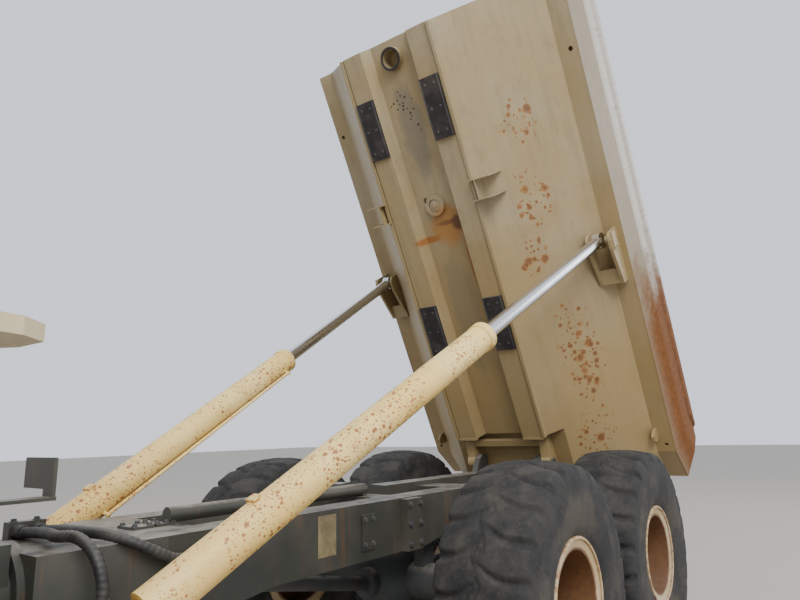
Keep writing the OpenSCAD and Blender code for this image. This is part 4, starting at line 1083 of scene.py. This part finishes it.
@dataclass
class WheelTrim(Group):
    """Nuts, cap bolts and lock ring of each rim.

    Fields:
        nuts: number of wheel nuts.
        circle: radius of their circle.
        bolts: number of bolts on the hub's cap.
        cap: radius of their circle.
        sunk: how far inside the tyre's middle plane the nuts stand.
        hub: how far outside it the hub's cap ends.
        lip: how far outside it the lock ring lies.
    """

    nuts: int = 20
    circle: float = 0.232
    bolts: int = 10
    cap: float = 0.108
    sunk: float = 0.0602
    hub: float = 0.0198
    lip: float = 0.2616

    def build(self) -> None:
        """Fits the trim on the six rims."""
        for end, side in WHEELS:
            node = "rim_%s_%s" % (end, side)
            tyre = middle("tyre_%s_%s" % (end, side))
            out = Vector((0, 1 if side == "left" else -1, 0))
            trim = Mesher("trim_%s_%s" % (end, side))
            for ray in rays(self.nuts, 0.0):
                trim.stack(tyre + ray * self.circle - out * self.sunk, out,
                           ((0.021, 0.005, 16), (0.0165, 0.02, 6), (0.009, 0.01, 10, 0.0075)), ray)
            for ray in rays(self.bolts, 0.5):
                trim.disc(facing(tyre + ray * self.cap + out * self.hub, out, ray), 0.0105, 0.009, 6)
            trim.disc(facing(tyre + out * self.hub, out), 0.03, 0.012, 24, 0.026)
            trim.ring(facing(tyre + out * self.lip, out),
                      [(0.349, 0.0), (0.3665, 0.0), (0.3665, 0.004), (0.362, 0.0085), (0.352, 0.0085),
                       (0.349, 0.005)], 64)
            self.put(trim, "wheel_%s_%s" % (end, side), Slot.CREAM, frame["nodes"][node].data.materials[0])


@dataclass
class BedTrim(Group):
    """Gasket, plug, strips along the pads and a cluster of small holes on the bed's underside.

    Fields:
        holes: the small holes, as metres ahead of the hinge and left of the middle.
        pads: ends of the pads, ahead of the hinge.
        sides: the strips' middles across the bed.
        port: middle of the upper port's gasket, ahead of the hinge and above the pads' face.
        plug: middle of the plug's cap, in the same way.
        sheet: height of the bed's lower face above the pads' face.
    """

    holes: tuple[tuple[float, float], ...] = (
        (3.646, -0.049), (3.609, -0.034), (3.584, 0.004), (3.551, 0.073), (3.579, -0.077), (3.564, -0.122),
        (3.539, -0.063), (3.541, -0.027), (3.517, -0.033), (3.548, -0.153), (3.505, -0.097), (3.486, -0.04),
        (3.483, 0.002), (3.464, 0.06), (3.44, 0.019), (3.41, 0.024), (3.389, 0.005), (3.324, 0.061),
        (3.275, 0.076))
    pads: tuple[tuple[float, float], ...] = ((1.187, 1.693), (3.134, 3.651))
    sides: tuple[float, ...] = (0.258, 0.431)
    port: tuple[float, float] = (3.92, 0.0852)
    plug: tuple[float, float] = (2.597, 0.1122)
    sheet: float = 0.1252

    def build(self) -> None:
        """Fits the pieces on the bed."""
        down = Matrix.Rotation(math.pi, 4, "X")
        dark = Mesher("bed_holes")
        for index, (ahead, left) in enumerate(self.holes):
            spot = under_bed(ahead, left, self.sheet)
            dark.disc(spot @ down, 0.0065 + 0.0015 * (index % 3), 0.0012, 14)
        dark.ring(under_bed(self.port[0], 0, self.port[1]) @ down,
                  [(0.076, 0.0), (0.099, 0.0), (0.099, 0.003), (0.096, 0.006), (0.079, 0.006),
                   (0.076, 0.003)], 48)
        self.put(dark, "bed", Slot.RUBBER)
        strips = Mesher("pad_strips")
        for low, high in self.pads:
            for side in (-1, 1):
                for left in self.sides:
                    strips.box((low + 0.004, side * left - 0.0055, -0.0025),
                               (high - 0.004, side * left + 0.0055, 0.0), under_bed(0, 0, 0), 0.001)
                for share in (0.12, 0.5, 0.88):
                    ahead = low + (high - low) * share
                    for left in (0.3, 0.39):
                        spot = under_bed(ahead, side * left, 0.0002)
                        strips.disc(spot @ down, 0.012, 0.003, 12, 0.009)
        self.put(strips, "bed", Slot.IRON)
        plug = Mesher("plug_cap")
        plug.ring(under_bed(self.plug[0], 0, self.plug[1]) @ down,
                  [(0.0, 0.0), (0.057, 0.0), (0.057, 0.006), (0.05, 0.009), (0.022, 0.009), (0.02, 0.015),
                   (0.0, 0.015)], 40)
        self.put(plug, "bed", Slot.CREAM, self.wardrobe.bed)


@dataclass
class Bolts(Group):
    """Bolt heads, pin caps and a blank plate on the rear frame, the bed's brackets and the hoses' blocks.

    Fields:
        frame: bolt heads on the frame, as place in millimetres, side they look to, and radius.
        sunk: how deep they and the caps are let in.
        patch: two corners of the blank plate on the left rail, in millimetres.
        base_pin: outer end of a cylinder's base pin, in millimetres.
        eye_pin: outer end of its eye's pin, ahead of the hinge, to the side and above the pads' face.
    """

    frame: tuple[tuple[Vec3, Vec3, float], ...] = (
        *(((x, y, 599.0), (0, 0, 1), 0.011) for x in (1913, 1959) for y in (28, 132)),
        *(((x, y, 599.0), (0, 0, 1), 0.011) for x in (2000, 2075) for y in (28, 132)),
        *(((x, -270.0, 640.0), (0, 0, 1), 0.012) for x in (2330, 2430)),
        *(((x, 500.0, z), (0, 1, 0), 0.014) for x in (310, 420) for z in (310, 430, 550)),
        *(((x, 450.0, z), (0, 1, 0), 0.012) for x in (735, 805) for z in (360, 500)),
        *(((1917, 492.0, z), (0, 1, 0), 0.009) for z in (476, 504)))
    sunk: float = 0.0003
    patch: tuple[Vec3, Vec3] = ((1046, 439.8, 345), (1188, 442.0, 561))
    base_pin: Vec3 = (2420, 768, 296)
    eye_pin: Vec3 = (1.876, 1.3078, 0.655)

    def build(self) -> None:
        """Fits the bolts, the plate and the caps."""
        bolts = Mesher("frame_bolts")
        for place, normal, radius in self.frame:
            out = Vector(normal)
            bolts.stack(on_truck(*place) - out * self.sunk, out,
                        ((radius * 1.5, 0.003, 16), (radius, radius * 0.9, 6)))
        self.put(bolts, "rear_frame", Slot.IRON)
        patch = Mesher("frame_patch")
        patch.box(*(tuple(on_truck(*corner)) for corner in self.patch), bevel=0.0008)
        self.put(patch, "rear_frame", Slot.CREAM, self.wardrobe.patch)
        caps = Mesher("base_pin_caps")
        keepers = Mesher("eye_pin_caps")
        for side in (1, -1):
            out = Vector((0, side, 0))
            face = on_truck(self.base_pin[0], side * self.base_pin[1], self.base_pin[2])
            caps.ring(facing(face - out * self.sunk, out),
                      [(0.0, 0.0), (0.05, 0.0), (0.05, 0.008), (0.046, 0.012), (0.0, 0.012)], 36)
            for turn in (0.6, 3.74):
                ray = Vector((math.cos(turn), 0, math.sin(turn)))
                caps.disc(facing(face + ray * 0.034 + out * 0.0115, out), 0.009, 0.008, 6)
            across = Matrix.Rotation(-side * math.pi / 2, 4, "X")
            hub = under_bed(self.eye_pin[0], side * self.eye_pin[1], self.eye_pin[2]) @ across
            keepers.ring(hub, [(0.0, 0.0), (0.044, 0.0), (0.044, 0.007), (0.041, 0.01), (0.0, 0.01)], 36)
            for ahead, up in ((1.80, 0.63), (1.80, 0.70)):
                keepers.disc(under_bed(ahead, side * 1.3218, up) @ across, 0.011, 0.011, 6)
        self.put(caps, "rear_frame", Slot.IRON)
        self.put(keepers, "bed", Slot.CREAM, self.wardrobe.bed)


@dataclass
class Hoses(Group):
    """The two hoses on the frame's nose, wound with a spiral guard, and their end fittings.

    Fields:
        routes: points of the two centre lines in millimetres, as in the part's source.
        radius: the hoses' radius.
        pitch: distance between two turns of the guard.
        rib: height of its ribs.
        sides: facets round the hose.
    """

    routes: tuple[tuple[Vec3, ...], ...] = (
        ((2420, -240, 600), (2420, -200, 600), (2420, -160, 600), (2418, -90, 606), (2423, 20, 612),
         (2451, 127, 620), (2466, 223, 619), (2450, 321, 624), (2437, 391, 604), (2424, 447, 561),
         (2416, 482, 506), (2412, 500, 447), (2412, 500, 395), (2412, 500, 351)),
        ((2340, -240, 600), (2340, -200, 600), (2340, -160, 600), (2334, -80, 606), (2326, 20, 611),
         (2324, 120, 613), (2327, 209, 615), (2317, 304, 615), (2285, 380, 600), (2235, 434, 572),
         (2174, 463, 538), (2104, 469, 503), (2042, 466, 490), (1990, 466, 490), (1940, 466, 490)))
    radius: float = 0.023
    pitch: float = 0.024
    rib: float = 0.0022
    sides: int = 20

    def curve(self, points: Sequence[Vec3]) -> list[Vector]:
        """Smooth line through a route's points, on the truck.

        Args:
            points: the route's points.

        Returns:
            Places a few millimetres apart.
        """
        p = [on_truck(*point) for point in points]
        line: list[Vector] = []
        for index in range(len(p) - 1):
            a, b, c, d = p[max(index - 1, 0)], p[index], p[index + 1], p[min(index + 2, len(p) - 1)]
            steps = max(2, round((c - b).length / (self.pitch / 4)))
            for k in range(steps):
                t = k / steps
                bend = t * t * (2 * a - 5 * b + 4 * c - d) + t ** 3 * (3 * b - a - 3 * c + d)
                line.append(0.5 * (2 * b + t * (c - a) + bend))
        line.append(p[-1])
        return line

    def sweep(self, mesh: Mesher, line: list[Vector]) -> None:
        """Sweeps one hose with its spiral ribs.

        Args:
            mesh: where the hose goes.
            line: its centre line.
        """
        away = Vector((0.2, 0.1, 1.0)).normalized()
        rings = []
        run = 0.0
        for index, at in enumerate(line):
            ahead = (line[min(index + 1, len(line) - 1)] - line[max(index - 1, 0)]).normalized()
            run += (at - line[index - 1]).length if index else 0.0
            side = away = (away - ahead * away.dot(ahead)).normalized()
            other = ahead.cross(side)
            ring = []
            for k in range(self.sides):
                turn = k * math.tau / self.sides
                rib = 0.5 + 0.5 * math.cos(turn + run / self.pitch * math.tau)
                reach = self.radius + self.rib * (rib ** 2 - 0.5)
                ray = math.cos(turn) * side + math.sin(turn) * other
                ring.append(mesh.bm.verts.new(at + reach * ray))
            rings.append(ring)
        for low, high in zip(rings, rings[1:]):
            for k in range(self.sides):
                n = (k + 1) % self.sides
                mesh.bm.faces.new((low[k], low[n], high[n], high[k]))
        mesh.bm.faces.new(list(reversed(rings[0])))
        mesh.bm.faces.new(rings[-1])

    def build(self) -> None:
        """Builds the hoses and their fittings."""
        up = Vector((0.3, 0.2, 0.93))
        hose = Mesher("wound_hoses")
        ends = Mesher("hose_fittings")
        for points in self.routes:
            line = self.curve(points)
            self.sweep(hose, line)
            for at, after in ((line[0], line[1]), (line[-1], line[-2])):
                ahead = (after - at).normalized()
                ends.disc(facing(at, ahead, up), 0.034, 0.016, 6)
                ends.ring(facing(at + ahead * 0.016, ahead, up),
                          [(0.02, 0.0), (0.0285, 0.0), (0.0285, 0.034), (0.027, 0.038), (0.02, 0.038)], 24)
        bmesh.ops.recalc_face_normals(hose.bm, faces=hose.bm.faces)
        cover = self.wardrobe.by_slot[Slot.HOSE]
        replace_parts(hose.finish(cover, "rear_frame", Slot.HOSE, 60.0), "frame_hoses")
        self.put(ends, "rear_frame", Slot.IRON)


@dataclass
class DriverSeat(Group):
    """Driver's seat: pedestal, crowned cushion and crowned back.

    Fields:
        power: how square the cushions' corners are.
        parts: steps along each edge of a cushion.
    """

    power: float = 5.0
    parts: int = 14

    def cushion(self, name: str, low: Vec3, high: Vec3) -> None:
        """One stuffed cushion between two corners.

        Args:
            name: the piece's name.
            low: lowest corner.
            high: highest corner.
        """
        mesh = Mesher(name)
        made = bmesh.ops.create_cube(mesh.bm, size=2.0)["verts"]
        edges = list({e for v in made for e in v.link_edges})
        bmesh.ops.subdivide_edges(mesh.bm, edges=edges, cuts=self.parts, use_grid_fill=True)
        centre, half = (Vector(low) + Vector(high)) / 2, (Vector(high) - Vector(low)) / 2
        thin = min(range(3), key=lambda axis: half[axis])
        for vert in mesh.bm.verts:
            reach = sum(abs(c) ** self.power for c in vert.co) ** (1 / self.power)
            spot = vert.co / reach
            wide = [spot[axis] for axis in range(3) if axis != thin]
            crown = (1 - wide[0] ** 2) * (1 - wide[1] ** 2)
            channel = 0.05 * (0.5 + 0.5 * math.cos(wide[0] * 6 * math.pi)) * crown
            spot[thin] *= 0.80 + 0.20 * crown - channel
            vert.co = Vector(centre[axis] + half[axis] * spot[axis] for axis in range(3))
        mesh.finish(self.wardrobe.by_slot[Slot.SEAT], "tractor", Slot.SEAT, 80.0)

    def build(self) -> None:
        """Builds the seat in place of the plain one."""
        low, high = (Vector(corner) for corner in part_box("seat"))
        top = high.z - 0.65
        base = Mesher("seat_base")
        base.box((low.x + 0.20, -0.15, low.z), (low.x + 0.45, 0.15, top - 0.04), bevel=0.012)
        base.box((low.x + 0.12, -0.21, top - 0.04), (high.x - 0.03, 0.21, top), bevel=0.01)
        base.box((low.x + 0.02, -0.16, top - 0.02), (low.x + 0.08, 0.16, high.z - 0.2), bevel=0.01)
        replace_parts(self.put(base, "tractor", Slot.PLASTIC), "seat")
        self.cushion("seat_cushion", (low.x + 0.095, -0.24, top), (high.x, 0.24, top + 0.12))
        self.cushion("seat_back", (low.x, -0.24, top + 0.06), (low.x + 0.115, 0.24, high.z))


@dataclass
class CabTrim(Group):
    """Lamp rims, door handle and step grips of the tractor.

    Fields:
        lamp: width of a headlamp.
        rim: width of the rim round it.
        treads: heights of the steps' lower faces, in millimetres above the axles.
        thick: from there up to the grips' foot, in millimetres.
        along: first and last place of the grips along X and their spacing, in millimetres.
        across: their places along Y, in millimetres.
    """

    lamp: float = 0.18
    rim: float = 0.012
    treads: tuple[float, ...] = (-208, 92, 392, 692)
    thick: float = 29.8
    along: tuple[int, int, int] = (5130, 5480, 28)
    across: tuple[float, ...] = (1060, 1150, 1240, 1330)

    def build(self) -> None:
        """Fits the trim."""
        low, high = (Vector(corner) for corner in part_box("headlamps"))
        back, face = high.x - 0.004, high.x + 0.008
        rims = Mesher("lamp_rims")
        for side in (1, -1):
            y0, y1 = sorted((side * high.y, side * (high.y - self.lamp)))
            for inner, outer in ((y0, y0 + self.rim), (y1 - self.rim, y1)):
                rims.box((back, inner, low.z), (face, outer, high.z), bevel=0.002)
            for foot, top in ((low.z, low.z + self.rim), (high.z - self.rim, high.z)):
                rims.box((back, y0 + 0.0122, foot), (face, y1 - 0.0122, top), bevel=0.002)
        self.put(rims, "tractor", Slot.PLASTIC)
        low, high = (Vector(corner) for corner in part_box("door"))
        handle = Mesher("door_handle")
        rear, level, out = low.x + 0.10, low.z + 0.62, high.y
        for x in (rear, rear + 0.12):
            handle.box((x - 0.01, out - 0.025, level - 0.01), (x + 0.01, out + 0.016, level + 0.01),
                       bevel=0.003)
        handle.box((rear - 0.02, out + 0.0155, level - 0.012), (rear + 0.14, out + 0.028, level + 0.012),
                   bevel=0.005)
        self.put(handle, "door", Slot.PLASTIC)
        grips = Mesher("tread_grips")
        half, tall = Vector((0.003, 0.028, 0)), Vector((0, 0, 0.003))
        for tread in self.treads:
            for x in range(*self.along):
                for y in self.across:
                    spot = on_truck(x, y, tread + self.thick)
                    grips.box(tuple(spot - half), tuple(spot + half + tall))
        self.put(grips, "tractor", Slot.FRAME)


@dataclass
class Studio:
    """Floor, light and camera.

    Fields:
        eye: the camera's place, from the middle axle.
        yaw: its turn about Z, in degrees from +X.
        pitch: its look up, in degrees.
        roll: its turn about its own axis, in degrees.
        focal: focal length in pixels of an 800 pixel wide picture.
        floor: how far the floor reaches.
    """

    eye: Vec3 = (3.765, 2.94, 1.811)
    yaw: float = -143.407
    pitch: float = 11.861
    roll: float = -1.332
    focal: float = 625.57
    floor: float = 60.0

    def camera(self) -> None:
        """Stands the camera where the photograph was taken."""
        yaw, pitch, roll = (math.radians(a) for a in (self.yaw, self.pitch, self.roll))
        ahead = Vector((math.cos(pitch) * math.cos(yaw), math.cos(pitch) * math.sin(yaw), math.sin(pitch)))
        right = Vector((math.sin(yaw), -math.cos(yaw), 0))
        up = right.cross(ahead)
        x_axis = math.cos(roll) * right + math.sin(roll) * up
        y_axis = math.cos(roll) * up - math.sin(roll) * right
        data = bpy.data.cameras.new("camera")
        data.sensor_width = 36.0
        data.lens = self.focal / 800 * data.sensor_width
        data.clip_end = 400.0
        camera = bpy.data.objects.new("camera", data)
        turn = Matrix((x_axis, y_axis, -ahead)).transposed().to_4x4()
        camera.matrix_world = Matrix.Translation(Vector(self.eye) + Vector((MID, 0, 0))) @ turn
        bpy.context.scene.collection.objects.link(camera)
        bpy.context.scene.camera = camera

    def lights(self) -> None:
        """Overcast sky: a pale world and two wide soft lights."""
        world = bpy.data.worlds.new("sky")
        world.use_nodes = True
        shade = world.node_tree.nodes["Background"]
        shade.inputs[0].default_value = (0.86, 0.91, 1.0, 1.0)
        shade.inputs[1].default_value = 1.2
        bpy.context.scene.world = world
        for name, place, aim, size, power in (
                ("key", (6.0, 9.0, 12.0), (-2.0, 0.0, 2.0), 9.0, 2600.0),
                ("fill", (-14.0, 8.0, 9.0), (-2.0, 0.0, 2.0), 9.0, 500.0)):
            data = bpy.data.lights.new(name, "AREA")
            data.shape = "DISK"
            data.size = size
            data.energy = power
            light = bpy.data.objects.new(name, data)
            look = (Vector(aim) - Vector(place)).to_track_quat("-Z", "Y")
            light.matrix_world = Matrix.Translation(place) @ look.to_matrix().to_4x4()
            bpy.context.scene.collection.objects.link(light)

    def ground(self) -> None:
        """Plain pale floor."""
        graph = Graph("floor")
        graph.set(Base_Color=(0.42, 0.385, 0.34), Roughness=0.95)
        bm = bmesh.new()
        bmesh.ops.create_grid(bm, x_segments=1, y_segments=1, size=self.floor)
        mesh = bpy.data.meshes.new("floor")
        bm.to_mesh(mesh)
        bm.free()
        mesh.materials.append(graph.material)
        floor = bpy.data.objects.new("floor", mesh)
        bpy.context.scene.collection.objects.link(floor)

    def build(self) -> None:
        """Sets the whole studio up."""
        self.camera()
        self.lights()
        self.ground()


def main() -> None:
    """Builds every sub-assembly in order, and logs the faces of each new piece."""
    logging.basicConfig(level=logging.INFO, format="%(message)s")
    Studio().build()
    wardrobe = Wardrobe()
    wardrobe.dress()
    LOG.info("finishes on %d nodes", len(frame["nodes"]))
    for kind in (Tyre, WheelTrim, BedTrim, Bolts, Hoses, DriverSeat, CabTrim):
        before = set(bpy.data.objects)
        kind(wardrobe).build()
        for piece in sorted(set(bpy.data.objects) - before, key=lambda made: made.name):
            LOG.info("%s: %s, %d faces", kind.__name__, piece.name, len(piece.data.polygons))


if __name__ == "__main__":
    main()
